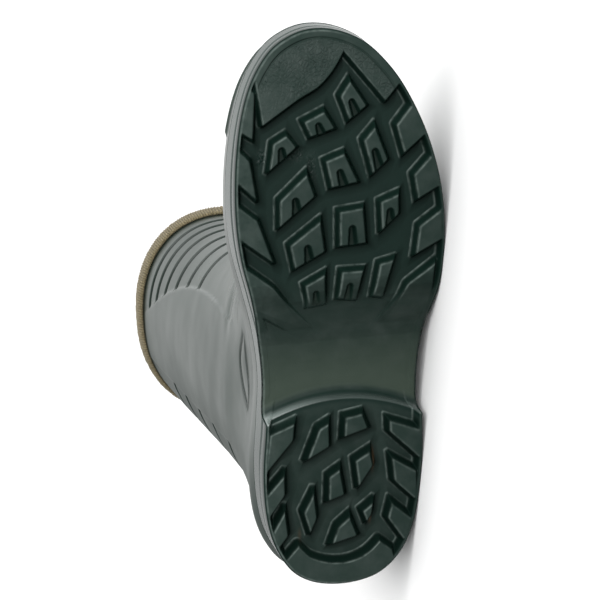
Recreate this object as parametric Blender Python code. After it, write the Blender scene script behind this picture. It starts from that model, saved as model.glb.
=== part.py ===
"""Outdoor boot, left foot: sole, hollow upper, insole and knit cuff, lying on its outer side."""
import math

import bmesh
import bpy
import numpy as np
from mathutils import Matrix, Vector

# Sizes in millimetres, standing frame: x heel to toe, y to the outer side, z up from the tread
LENGTH = 309.5
GAP = 0.3
TOE_SPRING = 16.0
SPRING_START = 215.0

# Sole outline, half widths either side of the foot line: along, lateral, medial
OUTLINE = (
    (0.0, -1.0, 1.0),
    (3.0, 17.0, 18.5),
    (9.0, 26.5, 28.5),
    (18.0, 34.0, 35.5),
    (32.0, 40.0, 41.5),
    (50.0, 43.5, 44.6),
    (72.0, 45.6, 45.0),
    (95.0, 45.8, 43.0),
    (120.0, 47.0, 41.5),
    (145.0, 51.0, 44.0),
    (168.0, 56.0, 49.0),
    (190.0, 58.9, 54.0),
    (210.0, 58.7, 56.2),
    (230.0, 56.0, 56.2),
    (250.0, 50.8, 54.3),
    (268.0, 43.7, 50.6),
    (282.0, 36.3, 45.5),
    (293.0, 28.0, 38.8),
    (301.0, 19.5, 31.2),
    (306.5, 9.0, 21.5),
    (LENGTH, -7.0, 7.0),
)

# Height of the sole's side and of its foot bed, before toe spring: along, side top, bed
SOLE_TOP = (
    (0.0, 25.0, 17.0),
    (60.0, 24.0, 17.0),
    (110.0, 25.5, 21.0),
    (150.0, 27.0, 20.0),
    (205.0, 27.0, 15.0),
    (245.0, 22.0, 13.5),
    (270.0, 17.5, 12.5),
    (LENGTH, 16.0, 12.0),
)

# Upper, one row per fold from feather line to collar: front point, back point,
# share of the sole outline at heel, waist and ball, share of round section,
# half width, fullest place and roundness of that section
UPPER = (
    (309.8, 32.3, -0.3, 25.3, 1.00, 1.00, 1.00, 0.00, 48.0, 0.50, 2.2),
    (306.0, 40.0, -4.2, 33.0, 1.02, 1.00, 0.985, 0.00, 48.0, 0.50, 2.2),
    (301.8, 48.0, -4.8, 42.0, 1.00, 0.97, 0.96, 0.00, 47.0, 0.48, 2.2),
    (294.5, 59.0, -4.4, 52.0, 0.96, 0.91, 0.91, 0.00, 45.0, 0.45, 2.1),
    (284.0, 70.0, -3.4, 63.0, 0.93, 0.86, 0.83, 0.08, 43.0, 0.40, 2.1),
    (264.0, 79.5, -2.0, 75.0, 0.91, 0.82, 0.73, 0.25, 41.5, 0.36, 2.0),
    (240.0, 88.0, 0.0, 88.0, 0.90, 0.82, 0.66, 0.50, 41.0, 0.34, 2.0),
    (212.0, 98.0, 2.6, 101.0, 0.90, 0.82, 0.62, 0.78, 41.0, 0.34, 2.0),
    (188.0, 112.0, 4.6, 116.0, 0.92, 0.82, 0.60, 1.00, 41.8, 0.37, 2.0),
    (170.0, 131.0, 6.0, 133.0, 0.92, 0.82, 0.60, 1.00, 43.3, 0.42, 2.05),
    (158.0, 155.0, 6.8, 153.0, 0.92, 0.82, 0.60, 1.00, 45.3, 0.46, 2.1),
    (150.0, 185.0, 7.0, 180.0, 0.92, 0.82, 0.60, 1.00, 48.0, 0.49, 2.15),
    (145.5, 220.0, 6.6, 212.0, 0.92, 0.82, 0.60, 1.00, 51.0, 0.50, 2.2),
    (142.5, 260.0, 5.8, 255.0, 0.92, 0.82, 0.60, 1.00, 54.7, 0.50, 2.25),
    (140.0, 312.0, 5.2, 308.0, 0.92, 0.82, 0.60, 1.00, 59.2, 0.50, 2.26),
)
SHAFT_SHIFT = -1.3

# Side of the sole from tread to feather edge: share of its height, inset
SIDE_WALL = (
    (0.01, 1.0),
    (0.05, 0.4),
    (0.34, 0.2),
    (0.38, 1.0),
    (0.46, 1.0),
    (0.50, 0.2),
    (0.92, 0.0),
    (1.00, 0.4),
)
LEDGE_INSET = 5.0
BED_INSET = 6.5
FLOOR_FORE = 6.2
FLOOR_HEEL = 7.2
FLOOR_SPLIT = 130.0
RIM = 0.8
RIM_TOP = 0.25
DRAFT = 2.3
SINK = 0.6

# Underside of the shank: distance behind or ahead of the breast line, height
BREAST_X = 106.9
BREAST_BOW = 10.0
BREAST_HALF = 42.0
BREAST = (
    (0.0, -3.0),
    (0.0, FLOOR_HEEL),
    (0.9, 11.0),
    (2.4, 13.6),
    (6.0, 15.4),
)
# The same underside on to the forefoot: along, height
SHANK = (
    (126.0, 16.0),
    (138.0, 15.2),
    (147.0, 12.8),
    (156.0, 9.4),
    (160.0, 7.4),
    (164.0, FLOOR_FORE),
    (164.0, -3.0),
)
# Lug tops and rim rising into the shank: along, height
RAMP = (
    (126.0, 16.3),
    (138.0, 15.4),
    (146.0, 12.9),
    (152.0, 9.2),
    (158.0, 5.8),
    (164.0, 3.0),
    (170.0, 1.1),
    (176.0, 0.0),
    (176.0, -3.0),
)
RAMP_BACK = 0.5
SHANK_REACH = 75.0

# Lugs: name, middle along and across, length, front width, rear width,
# shift of front edge across, run of front edge and of rear edge, height of root
LUGS = (
    ('A1', 248.5, -30.0, 9.7, 7.1, 14.2, -1.1, 3.8, 10.7, 6.2),
    ('B1', 260.0, -9.4, 8.0, 10.8, 12.5, -3.9, 4.6, 3.4, 6.2),
    ('C1', 271.2, 9.3, 12.3, 5.5, 9.3, -5.8, 7.1, 6.3, 6.2),
    ('A2', 221.4, -23.5, 12.6, 14.7, 18.8, -1.7, 12.9, 14.8, 6.2),
    ('B2', 234.9, 1.1, 14.4, 9.8, 13.7, -4.7, 3.3, 2.0, 6.2),
    ('C2', 244.7, 20.6, 17.3, 6.1, 8.0, -5.1, 6.3, 6.5, 6.2),
    ('A3', 195.2, -17.5, 14.2, 16.4, 16.0, -2.2, 11.8, 8.0, 6.2),
    ('B3', 204.1, 7.1, 18.5, 12.4, 14.1, -0.5, 1.2, 0.7, 6.2),
    ('C3', 212.0, 28.1, 12.5, 9.4, 9.0, -0.2, 3.4, 8.1, 6.2),
    ('A4', 169.6, -13.2, 13.4, 10.4, 7.9, -1.0, 5.2, 1.0, 6.2),
    ('B4', 172.3, 5.5, 14.7, 11.4, 8.9, 3.0, -0.2, -1.2, 6.2),
    ('C4', 174.1, 23.5, 18.3, 7.2, 4.4, 4.9, 1.6, -0.9, 6.2),
    ('R1', 254.7, 40.4, 15.3, 10.1, 11.8, -4.5, 10.6, 9.3, 6.2),
    ('R2', 227.8, 48.5, 14.9, 11.2, 11.8, -2.4, 10.6, 6.3, 6.2),
    ('R3', 198.2, 50.2, 15.3, 12.0, 14.7, 0.8, 8.2, 7.2, 6.2),
    ('R4', 162.0, 41.6, 26.6, 15.0, 23.0, 7.4, 10.5, 5.5, 14.2),
    ('L0', 268.0, -46.5, 22.0, 4.0, 6.0, 3.6, -2.0, -4.0, 6.2),
    ('L1', 237.3, -51.0, 17.9, 7.5, 12.0, -0.4, -6.2, -10.0, 6.2),
    ('L2', 205.7, -48.9, 20.0, 13.1, 20.3, -3.9, -9.0, -13.9, 6.2),
    ('L3', 167.2, -38.8, 25.8, 17.7, 28.4, -13.2, -12.5, -16.0, 14.2),
    ('H1', 86.3, -12.1, 14.4, 4.9, 11.6, 3.2, 2.7, 6.0, 7.2),
    ('H2', 93.4, 7.0, 9.2, 9.0, 12.7, -1.1, 1.4, 3.6, 7.2),
    ('H3', 68.6, 11.9, 10.9, 7.7, 7.7, -1.6, 4.4, 11.0, 7.2),
    ('H4', 58.9, -4.5, 13.8, 5.5, 8.3, -0.9, 3.5, 2.6, 7.2),
    ('H5', 43.4, -18.6, 12.5, 5.3, 3.5, -2.3, 10.0, 7.6, 7.2),
    ('H6', 31.7, 0.0, 9.8, 6.3, 13.5, -0.3, 5.1, 3.2, 7.2),
    ('H7', 41.2, 13.9, 5.5, 5.1, 2.6, -0.7, 3.8, 3.9, 7.2),
    ('HL1', 86.4, -35.3, 15.2, 13.1, 17.8, 3.2, 4.9, 17.7, 7.2),
    ('HL2', 55.8, -39.2, 11.4, 11.0, 12.3, 0.6, 11.2, 12.6, 7.2),
    ('HL3', 34.4, -37.0, 11.0, 9.1, 7.5, -2.2, 12.1, 7.0, 7.2),
    ('HR1', 84.1, 35.8, 11.2, 18.4, 17.5, 0.3, -7.0, -17.4, 7.2),
    ('HR2', 59.4, 35.4, 14.9, 13.5, 13.8, -1.4, -8.9, -12.5, 7.2),
    ('HR3', 34.5, 31.9, 10.4, 11.4, 11.0, 2.3, -10.3, -14.7, 7.2),
)
# Rear edge of the toe plate: along, across
TOE_PLATE = (
    (270.4, 27.8),
    (297.0, 7.0),
    (289.0, 1.5),
    (281.6, -5.6),
    (273.8, -19.4),
    (261.7, -39.2),
)
TOE_PLATE_LATERAL = 275.6
TOE_PLATE_MEDIAL = 282.5
# Front edge of the heel pad: along, across
HEEL_PAD = (
    (17.0, -34.0),
    (25.5, -26.0),
    (19.5, -21.0),
    (15.5, -14.0),
    (13.4, -6.0),
    (13.4, 3.0),
    (15.5, 10.0),
    (19.0, 15.5),
    (23.5, 20.0),
    (17.5, 27.0),
)
HEEL_PAD_END = 16.0
EDGE_INSET = 1.3

# Upper wall and the steps in it
WALL = 3.0
BODY_STEP = 0.8
RAND_LEVEL = 1.6
TOE_CAP_X = 250.0
TOE_CAP_LEVEL = 4.4
GROOVE_DEPTH = 1.3
GROOVE_HALF = 2.3
FRONT_GROOVES = (200.5, 222.5, 242.0, 260.5, 276.5, 291.0)
BACK_GROOVES = (125.0, 158.5, 188.0, 216.0, 243.0)
BACK_GROOVE_END = 46.0
# Front edge of the smooth side panel: height, along
PANEL_EDGE = (
    (93.0, 124.0),
    (128.0, 123.5),
    (159.0, 124.0),
    (192.0, 121.6),
    (223.0, 115.5),
    (251.0, 105.0),
    (272.0, 94.0),
    (291.0, 83.0),
    (320.0, 64.0),
)

# Cuff section round the shaft's top edge: out from the shaft, up from its edge
CUFF = (
    (0.3, -4.2),
    (1.5, -5.2),
    (2.7, -4.4),
    (3.2, -1.0),
    (3.3, 6.0),
    (2.6, 9.6),
    (0.4, 11.4),
    (-2.4, 11.2),
    (-4.6, 9.2),
    (-5.5, 3.0),
    (-5.4, -7.0),
    (-4.0, -8.4),
    (-3.3, -7.6),
    (-3.3, 0.3),
    (0.3, 0.3),
)

INSOLE_INSET = 7.2
INSOLE_THICK = 5.0

# Mesh steps from heel to toe along one side
SOLE_STEPS = 40
UPPER_STEPS = 26
CUFF_STEPS = 18
INSOLE_STEPS = 18
TOE_CUTS = 8
MM = 0.001

# Look of each piece: colour, roughness
LOOKS = {
    'outsole': ((0.016, 0.033, 0.026), 0.42),
    'upper': ((0.026, 0.040, 0.033), 0.34),
    'insole': ((0.050, 0.052, 0.050), 0.90),
    'collar_cuff': ((0.184, 0.156, 0.112), 0.95),
}


def smooth(xs, ys, at):
    """Cubic through the rows of a table, with slopes from the neighbours."""
    xs = np.asarray(xs, float)
    ys = np.asarray(ys, float)
    slope = np.gradient(ys, xs)
    at = np.clip(np.asarray(at, float), xs[0], xs[-1])
    i = np.clip(np.searchsorted(xs, at, side='right') - 1, 0, len(xs) - 2)
    h = xs[i + 1] - xs[i]
    t = (at - xs[i]) / h
    return ((2 * t**3 - 3 * t**2 + 1) * ys[i] + (t**3 - 2 * t**2 + t) * h * slope[i]
            + (3 * t**2 - 2 * t**3) * ys[i + 1] + (t**3 - t**2) * h * slope[i + 1])


def turn_of(along):
    """Outline parameter 0 to 1 with even turning at heel and toe."""
    return np.arccos(np.clip(1.0 - 2.0 * np.asarray(along, float) / LENGTH, -1.0, 1.0)) / math.pi


OUTLINE_TURN = [float(turn_of(row[0])) for row in OUTLINE]


def outline_half(turn, column):
    return smooth(OUTLINE_TURN, [row[column] for row in OUTLINE], turn)


def toe_lift(along):
    reach = np.clip((np.asarray(along, float) - SPRING_START) / (LENGTH - SPRING_START), 0.0, 1.2)
    return TOE_SPRING * reach**2


def side_top(along):
    return smooth([r[0] for r in SOLE_TOP], [r[1] for r in SOLE_TOP], along)


def bed_top(along):
    return smooth([r[0] for r in SOLE_TOP], [r[2] for r in SOLE_TOP], along)


def loop_turns(steps):
    """Turn and side for each vertex of a closed loop: out along the lateral side, back on the medial."""
    k = np.arange(steps + 1) / steps
    turn = np.concatenate([k, k[-2:0:-1]])
    side = np.concatenate([np.ones(steps + 1), -np.ones(steps - 1)])
    return turn, side


def outline_loop(steps, inset):
    """Sole outline in plan, moved inward by inset (a number or one per vertex)."""
    turn, side = loop_turns(steps)
    x = LENGTH * (1.0 - np.cos(math.pi * turn)) / 2.0
    y = np.where(side > 0, outline_half(turn, 1), -outline_half(turn, 2))
    ahead_x = np.roll(x, -1) - np.roll(x, 1)
    ahead_y = np.roll(y, -1) - np.roll(y, 1)
    size = np.hypot(ahead_x, ahead_y)
    return x + ahead_y / size * inset, y - ahead_x / size * inset


def upper_column(level, column):
    rows = np.arange(len(UPPER))
    return smooth(rows, [row[column] for row in UPPER], level)


def upper_point(level, turn, side):
    """Outer surface of the upper without its raised details."""
    front_x, front_z = upper_column(level, 0), upper_column(level, 1)
    back_x, back_z = upper_column(level, 2), upper_column(level, 3)
    share = (1.0 - np.cos(math.pi * turn)) / 2.0
    x = back_x + (front_x - back_x) * share
    along = LENGTH * share
    feather = side_top(along) + toe_lift(along) + GAP
    straight = UPPER[0][3] + (UPPER[0][1] - UPPER[0][3]) * share
    keep = np.clip(1.0 - level / 5.0, 0.0, 1.0)**1.5
    z = back_z + (front_z - back_z) * share + (feather - straight) * keep
    heel, waist, ball = upper_column(level, 4), upper_column(level, 5), upper_column(level, 6)
    knots = np.array((0.0, 0.18, 0.42, 0.70, 1.0))
    weight = [smooth(knots, np.eye(5)[i], share) for i in range(5)]
    scale = heel * (weight[0] + weight[1]) + waist * weight[2] + ball * (weight[3] + weight[4])
    foot = np.where(side > 0, outline_half(turn, 1), -outline_half(turn, 2)) * scale
    fullest, bend = upper_column(level, 9), upper_column(level, 10)
    away = np.where(share < fullest, (fullest - share) / fullest, (share - fullest) / (1.0 - fullest))
    egg = upper_column(level, 8) * np.clip(1.0 - np.clip(away, 0, 1)**bend, 0.0, 1.0)**(1.0 / bend)
    shaft = SHAFT_SHIFT + side * egg
    mix = np.clip(upper_column(level, 7), 0.0, 1.0)
    y = foot * (1.0 - mix) + shaft * mix
    return x, y, z


def level_at(height, column):
    """Fold number at which the front (1) or back (3) line reaches a height."""
    levels = np.linspace(0.0, len(UPPER) - 1.0, 1401)
    return float(np.interp(height, upper_column(levels, column), levels))


def groove_levels():
    front = [level_at(height, 1) for height in FRONT_GROOVES]
    back = [level_at(height, 3) for height in BACK_GROOVES]
    return front, back


def ramp(start, end, value):
    t = np.clip((value - start) / (end - start), 0.0, 1.0)
    return t * t * (3.0 - 2.0 * t)


def wall_step(level, x, z):
    """Inward step of the wall: full rand and toe cap, lower body, grooves front and back."""
    body = ramp(RAND_LEVEL - 0.06, RAND_LEVEL + 0.06, level)
    below = 1.0 - ramp(TOE_CAP_LEVEL - 0.1, TOE_CAP_LEVEL + 0.1, level)
    cap = ramp(TOE_CAP_X - 1.5, TOE_CAP_X + 1.5, x) * below
    step = BODY_STEP * body * (1.0 - cap)
    front, back = groove_levels()
    edge = smooth([row[0] for row in PANEL_EDGE], [row[1] for row in PANEL_EDGE], z)
    ahead = ramp(-1.0, 2.0, x - edge)
    behind = ramp(-1.0, 2.0, BACK_GROOVE_END - x)
    for lines, share, column in ((front, ahead, 1), (back, behind, 3)):
        for line in lines:
            rise = upper_column(line + 0.02, column) - upper_column(line - 0.02, column)
            away = np.abs(level - line) * rise / 0.04
            step = step + GROOVE_DEPTH * share * np.clip(1.0 - away / GROOVE_HALF, 0.0, 1.0)
    return step


def upper_normal(level, turn, side):
    """Outward direction of the plain upper surface, from small moves along it."""
    top = len(UPPER) - 1.0
    low = np.clip(level - 0.05, 0.0, top)
    high = np.clip(level + 0.05, 0.0, top)
    rise = np.stack(upper_point(high, turn, side), -1) - np.stack(upper_point(low, turn, side), -1)
    ring = np.stack(upper_point(level, turn, side), -1)
    ahead = np.roll(ring, -1, 0) - np.roll(ring, 1, 0)
    out = np.cross(rise, ahead)
    return out / np.linalg.norm(out, axis=1)[:, None]


def upper_ring(level, steps, depth, stepped):
    turn, side = loop_turns(steps)
    levels = np.full(len(turn), float(level))
    x, y, z = upper_point(levels, turn, side)
    inward = np.full(len(turn), float(depth))
    if stepped:
        inward = inward + wall_step(levels, x, z)
    ring = np.stack((x, y, z), -1) - upper_normal(levels, turn, side) * inward[:, None]
    if level == 0.0:
        ring[:, 2] = side_top(ring[:, 0]) + toe_lift(ring[:, 0]) + GAP
    return ring


def tube_mesh(rings, closed):
    """Quads between rings of equal size; closed joins the last ring to the first."""
    count = len(rings[0])
    verts = np.concatenate(rings)
    faces = []
    for r in range(len(rings) if closed else len(rings) - 1):
        a = r * count
        b = ((r + 1) % len(rings)) * count
        for i in range(count):
            j = (i + 1) % count
            faces.append((a + i, a + j, b + j, b + i))
    return verts, faces


def strip_cap(start, steps):
    """Quads from the lateral to the medial side closing a loop made by loop_turns."""
    count = 2 * steps
    faces = [(start, start + 1, start + count - 1)]
    for k in range(1, steps - 1):
        faces.append((start + k, start + k + 1, start + count - k - 1, start + count - k))
    faces.append((start + steps - 1, start + steps, start + steps + 1))
    return faces


def new_object(name, verts, faces, smooth_angle):
    mesh = bpy.data.meshes.new(name)
    mesh.from_pydata([tuple(v * MM for v in p) for p in verts], [], faces)
    bm = bmesh.new()
    bm.from_mesh(mesh)
    bmesh.ops.recalc_face_normals(bm, faces=bm.faces)
    bm.to_mesh(mesh)
    bm.free()
    obj = bpy.data.objects.new(name, mesh)
    bpy.context.scene.collection.objects.link(obj)
    if smooth_angle:
        mesh.shade_smooth()
        mesh.set_sharp_from_angle(angle=math.radians(smooth_angle))
    return obj


def give_look(obj, name):
    colour, roughness = LOOKS[name]
    material = bpy.data.materials.new(name)
    material.use_nodes = True
    shader = material.node_tree.nodes['Principled BSDF']
    shader.inputs['Base Color'].default_value = (*colour, 1.0)
    shader.inputs['Roughness'].default_value = roughness
    shader.inputs['Metallic'].default_value = 0.0
    obj.data.materials.clear()
    obj.data.materials.append(material)


def sole_floor(along):
    return np.where(np.asarray(along) < FLOOR_SPLIT, FLOOR_HEEL, FLOOR_FORE)


def sole_body():
    """Sole without lugs: pocketed tread with a rim, side wall, ledge and foot bed."""
    steps = SOLE_STEPS
    plain_x, plain_y = outline_loop(steps, 0.0)
    first = SIDE_WALL[0][1]
    rings = []
    x, y = outline_loop(steps, first + RIM + DRAFT)
    rings.append(np.stack((x, y, sole_floor(x)), -1))
    x, y = outline_loop(steps, first + RIM)
    rings.append(np.stack((x, y, np.full_like(x, RIM_TOP)), -1))
    for share, inset in SIDE_WALL:
        x, y = outline_loop(steps, inset)
        low = RIM_TOP if share < 0.02 else 0.0
        rings.append(np.stack((x, y, np.maximum(share * side_top(plain_x), low)), -1))
    for inset, height in ((LEDGE_INSET, side_top), (BED_INSET, bed_top)):
        x, y = outline_loop(steps, inset)
        rings.append(np.stack((x, y, height(plain_x)), -1))
    verts, faces = tube_mesh(rings, False)
    faces += strip_cap(0, steps)
    faces += strip_cap((len(rings) - 1) * 2 * steps, steps)
    return new_object('outsole', verts, faces, 0)


def arch_cutter(name, start, profile):
    """Hollow under the arch, its rear edge bowed forward at the middle."""
    rows = []
    for y in np.linspace(-SHANK_REACH, SHANK_REACH, 13):
        bow = BREAST_BOW * min(abs(y) / BREAST_HALF, 1.2)**2
        row = [(start - bow + dx, y, z) for dx, z in BREAST]
        row += [(x, y, z) for x, z in profile]
        rows.append(np.array(row))
    count = len(rows[0])
    verts, faces = tube_mesh(rows, False)
    faces.append(tuple(range(count)))
    faces.append(tuple(range((len(rows) - 1) * count, len(rows) * count)))
    return new_object(name, verts, faces, 0)


def shank_cutter():
    """Floor of the arch, kept within the pocket of the tread."""
    cutter = arch_cutter('shank_cutter', BREAST_X, SHANK)
    rings = []
    for height in (-6.0, 24.0):
        x, y = outline_loop(SOLE_STEPS, SIDE_WALL[0][1] + RIM + DRAFT)
        rings.append(np.stack((x, y, np.full_like(x, height)), -1))
    verts, faces = tube_mesh(rings, False)
    faces += strip_cap(0, SOLE_STEPS)
    faces += strip_cap(2 * SOLE_STEPS, SOLE_STEPS)
    combine(cutter, new_object('pocket', verts, faces, 0), 'INTERSECT')
    return cutter


def keep_inside(point, inset):
    """Pull a tread corner in so that it stays within the sole outline."""
    x, y = point
    turn = turn_of(min(max(x, 0.0), LENGTH))
    wide = float(outline_half(turn, 1 if y > 0 else 2)) - inset
    return x, max(-wide, min(wide, y))


def grown(corners, amount):
    """Polygon in plan moved outward by amount, corners kept sharp."""
    pts = np.array(corners, float)
    area = np.sum(pts[:, 0] * np.roll(pts[:, 1], -1) - np.roll(pts[:, 0], -1) * pts[:, 1])
    if area < 0:
        pts = pts[::-1]
    out = []
    for i in range(len(pts)):
        before = pts[i] - pts[i - 1]
        after = pts[(i + 1) % len(pts)] - pts[i]
        n1 = np.array((before[1], -before[0])) / np.linalg.norm(before)
        n2 = np.array((after[1], -after[0])) / np.linalg.norm(after)
        mid = (n1 + n2) / max(1.0 + float(n1 @ n2), 0.35)
        out.append(pts[i] + mid * amount)
    return pts, np.array(out)


def lug_corners(row):
    name, along, across, length, front, rear, lean, front_run, rear_run, root = row
    fx, fy = along + length / 2, across + lean / 2
    rx, ry = along - length / 2, across - lean / 2
    corners = (
        (fx - front_run / 2, fy - front / 2),
        (fx + front_run / 2, fy + front / 2),
        (rx + rear_run / 2, ry + rear / 2),
        (rx - rear_run / 2, ry - rear / 2),
    )
    return [keep_inside(c, EDGE_INSET) for c in corners], root


def toe_plate_corners():
    turn, side = loop_turns(SOLE_STEPS)
    x, y = outline_loop(SOLE_STEPS, EDGE_INSET)
    ahead = (side > 0) & (x > TOE_PLATE_LATERAL) | (side < 0) & (x > TOE_PLATE_MEDIAL)
    arc = [(float(a), float(b)) for a, b, k in zip(x, y, ahead) if k]
    return list(TOE_PLATE)[::-1] + arc


def heel_pad_corners():
    x, y = outline_loop(SOLE_STEPS, EDGE_INSET)
    arc = [(float(a), float(b)) for a, b in zip(x, y) if a < HEEL_PAD_END]
    arc.sort(key=lambda p: p[1], reverse=True)
    return list(HEEL_PAD) + arc


def block(name, corners, root):
    """One lug: flat top on the tread plane, drafted sides, root sunk into the sole."""
    reach = root + SINK
    top, base = grown(corners, DRAFT * reach / FLOOR_FORE)
    base = np.array([keep_inside(p, EDGE_INSET - 0.4) for p in base])
    count = len(top)
    verts = [(p[0], p[1], 0.0) for p in top] + [(p[0], p[1], reach) for p in base]
    faces = [tuple(range(count)), tuple(range(count, 2 * count))]
    faces += [(i, (i + 1) % count, (i + 1) % count + count, i + count) for i in range(count)]
    return new_object(name, verts, faces, 0)


def combine(target, tool, operation):
    cut = target.modifiers.new(tool.name, 'BOOLEAN')
    cut.operation = operation
    cut.solver = 'EXACT'
    cut.object = tool
    view = bpy.context.view_layer
    view.update()
    result = bpy.data.meshes.new_from_object(target.evaluated_get(view.depsgraph))
    target.modifiers.remove(cut)
    target.data = result
    bpy.data.objects.remove(tool)


def make_outsole():
    sole = sole_body()
    combine(sole, shank_cutter(), 'DIFFERENCE')
    combine(sole, block('toe_plate', toe_plate_corners(), FLOOR_FORE), 'UNION')
    combine(sole, block('heel_pad', heel_pad_corners(), FLOOR_HEEL), 'UNION')
    for row in LUGS:
        corners, root = lug_corners(row)
        combine(sole, block(row[0], corners, root), 'UNION')
    combine(sole, arch_cutter('ramp_cutter', BREAST_X + RAMP_BACK, RAMP), 'DIFFERENCE')
    bm = bmesh.new()
    bm.from_mesh(sole.data)
    for x in np.linspace(SPRING_START, LENGTH, TOE_CUTS + 1)[:-1]:
        bmesh.ops.bisect_plane(bm, geom=bm.verts[:] + bm.edges[:] + bm.faces[:], dist=1e-7,
                               plane_co=(x * MM, 0.0, 0.0), plane_no=(1.0, 0.0, 0.0))
    bmesh.ops.remove_doubles(bm, verts=bm.verts, dist=2e-5)
    bmesh.ops.dissolve_degenerate(bm, dist=1e-5, edges=bm.edges)
    bmesh.ops.triangulate(bm, faces=bm.faces)
    for v in bm.verts:
        v.co.z += float(toe_lift(v.co.x / MM)) * MM
    bmesh.ops.recalc_face_normals(bm, faces=bm.faces)
    bm.to_mesh(sole.data)
    bm.free()
    return sole


def upper_levels():
    front, back = groove_levels()
    levels = [0.0, 0.8, RAND_LEVEL - 0.06, RAND_LEVEL + 0.06, 2.3, 3.0, 3.7]
    levels += [TOE_CAP_LEVEL - 0.1, TOE_CAP_LEVEL + 0.1]
    levels += [5.0, 6.0, 7.0, 8.0, 9.4]
    lines = sorted([(line, 1) for line in front] + [(line, 3) for line in back])
    for line, column in lines:
        rise = upper_column(line + 0.02, column) - upper_column(line - 0.02, column)
        half = GROOVE_HALF * 0.04 / float(rise)
        levels += [line - half, line, line + half]
    levels.append(len(UPPER) - 1.0)
    levels = sorted(levels)
    kept = [levels[0]]
    for level in levels[1:]:
        if level - kept[-1] > 0.02:
            kept.append(level)
    return kept


def make_upper():
    outer = [upper_ring(level, UPPER_STEPS, 0.0, True) for level in upper_levels()]
    inner = [upper_ring(level, UPPER_STEPS, WALL, False) for level in range(len(UPPER) - 1, -1, -1)]
    verts, faces = tube_mesh(outer + inner, True)
    return new_object('upper', verts, faces, 40)


def make_insole():
    steps = INSOLE_STEPS
    rings = []
    for inset, lift in ((0.8, 0.0), (0.0, 0.8), (0.0, INSOLE_THICK - 0.8), (0.8, INSOLE_THICK)):
        x, y = outline_loop(steps, INSOLE_INSET + inset)
        rings.append(np.stack((x, y, bed_top(x) + toe_lift(x) + GAP + lift), -1))
    verts, faces = tube_mesh(rings, False)
    faces += strip_cap(0, steps)
    faces += strip_cap((len(rings) - 1) * 2 * steps, steps)
    return new_object('insole', verts, faces, 40)


def make_cuff():
    top = len(UPPER) - 1.0
    rise = UPPER[-1][1] - UPPER[-2][1]
    turn, side = loop_turns(CUFF_STEPS)
    rings = []
    for out, up in CUFF:
        level = np.full(len(turn), top + min(up, 0.0) / rise)
        ring = np.stack(upper_point(level, turn, side), -1)
        ring = ring + upper_normal(level, turn, side) * (out - BODY_STEP * (out > 0))
        ring[:, 2] += max(up, 0.0)
        rings.append(ring)
    verts, faces = tube_mesh(rings, True)
    return new_object('collar_cuff', verts, faces, 50)


def resting_turn(pieces):
    """Rotation that lays the boot on its outer side: the hull facet under the middle of mass."""
    hull = bmesh.new()
    total = 0.0
    middle = Vector((0.0, 0.0, 0.0))
    for obj in pieces:
        bm = bmesh.new()
        bm.from_mesh(obj.data)
        bmesh.ops.triangulate(bm, faces=bm.faces)
        for face in bm.faces:
            a, b, c = (v.co for v in face.verts)
            volume = a.dot(b.cross(c)) / 6.0
            middle += (a + b + c) * (volume / 4.0)
            total += volume
        for v in bm.verts:
            hull.verts.new(v.co)
        bm.free()
    middle /= total
    bmesh.ops.convex_hull(hull, input=hull.verts)
    best = None
    for face in hull.faces:
        normal = face.normal.copy()
        if normal.dot(face.verts[0].co - middle) < 0.0:
            normal.negate()
        if normal.y < 0.7:
            continue
        foot = middle + normal * normal.dot(face.verts[0].co - middle)
        points = [v.co for v in face.verts]
        arms = [p - foot for p in points]
        turns = [a.cross(b).dot(normal) for a, b in zip(arms, arms[1:] + arms[:1])]
        if min(turns) >= 0.0 or max(turns) <= 0.0:
            best = normal
    hull.free()
    toe = (Vector((1.0, 0.0, 0.0)) - best * best.x).normalized()
    return Matrix((toe, (-best).cross(toe), -best))


def lay_down(pieces):
    turn = resting_turn(pieces)
    low = Vector((1e9, 1e9, 1e9))
    high = -low
    for obj in pieces:
        for v in obj.data.vertices:
            p = turn @ v.co
            low = Vector(min(a, b) for a, b in zip(low, p))
            high = Vector(max(a, b) for a, b in zip(high, p))
    shift = Vector((-(low.x + high.x) / 2, -(low.y + high.y) / 2, -low.z))
    rest = bpy.data.objects.new('rest_pose', None)
    rest.matrix_world = Matrix.Translation(shift) @ turn.to_4x4()
    bpy.context.scene.collection.objects.link(rest)
    for obj in pieces:
        obj.parent = rest


for old in list(bpy.data.objects):
    bpy.data.objects.remove(old)

boot = [make_outsole(), make_upper(), make_insole(), make_cuff()]
for piece in boot:
    give_look(piece, piece.name)
lay_down(boot)
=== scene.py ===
"""Looks of the outdoor boot: fine tread, grooved upper, knit cuff, materials, light and camera."""
import math

import bmesh
import bpy
import numpy as np
from mathutils import Matrix, Vector


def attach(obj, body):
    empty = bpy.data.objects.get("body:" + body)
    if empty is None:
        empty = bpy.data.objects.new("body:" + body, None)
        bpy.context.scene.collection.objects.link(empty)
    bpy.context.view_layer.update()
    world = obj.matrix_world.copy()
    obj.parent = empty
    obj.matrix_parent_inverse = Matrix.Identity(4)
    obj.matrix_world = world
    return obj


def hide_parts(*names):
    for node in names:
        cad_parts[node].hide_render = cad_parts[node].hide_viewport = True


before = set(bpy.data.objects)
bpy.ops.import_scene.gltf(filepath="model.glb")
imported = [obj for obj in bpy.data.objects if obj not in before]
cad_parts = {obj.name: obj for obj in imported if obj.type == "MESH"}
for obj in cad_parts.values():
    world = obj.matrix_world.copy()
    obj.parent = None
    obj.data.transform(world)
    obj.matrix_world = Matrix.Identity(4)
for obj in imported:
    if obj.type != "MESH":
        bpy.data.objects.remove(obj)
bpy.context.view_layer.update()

# Sizes in millimetres, standing frame: x heel to toe, y to the outer side, z up from the tread
LENGTH = 309.5
GAP = 0.3
TOE_SPRING = 16.0
SPRING_START = 215.0
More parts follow.
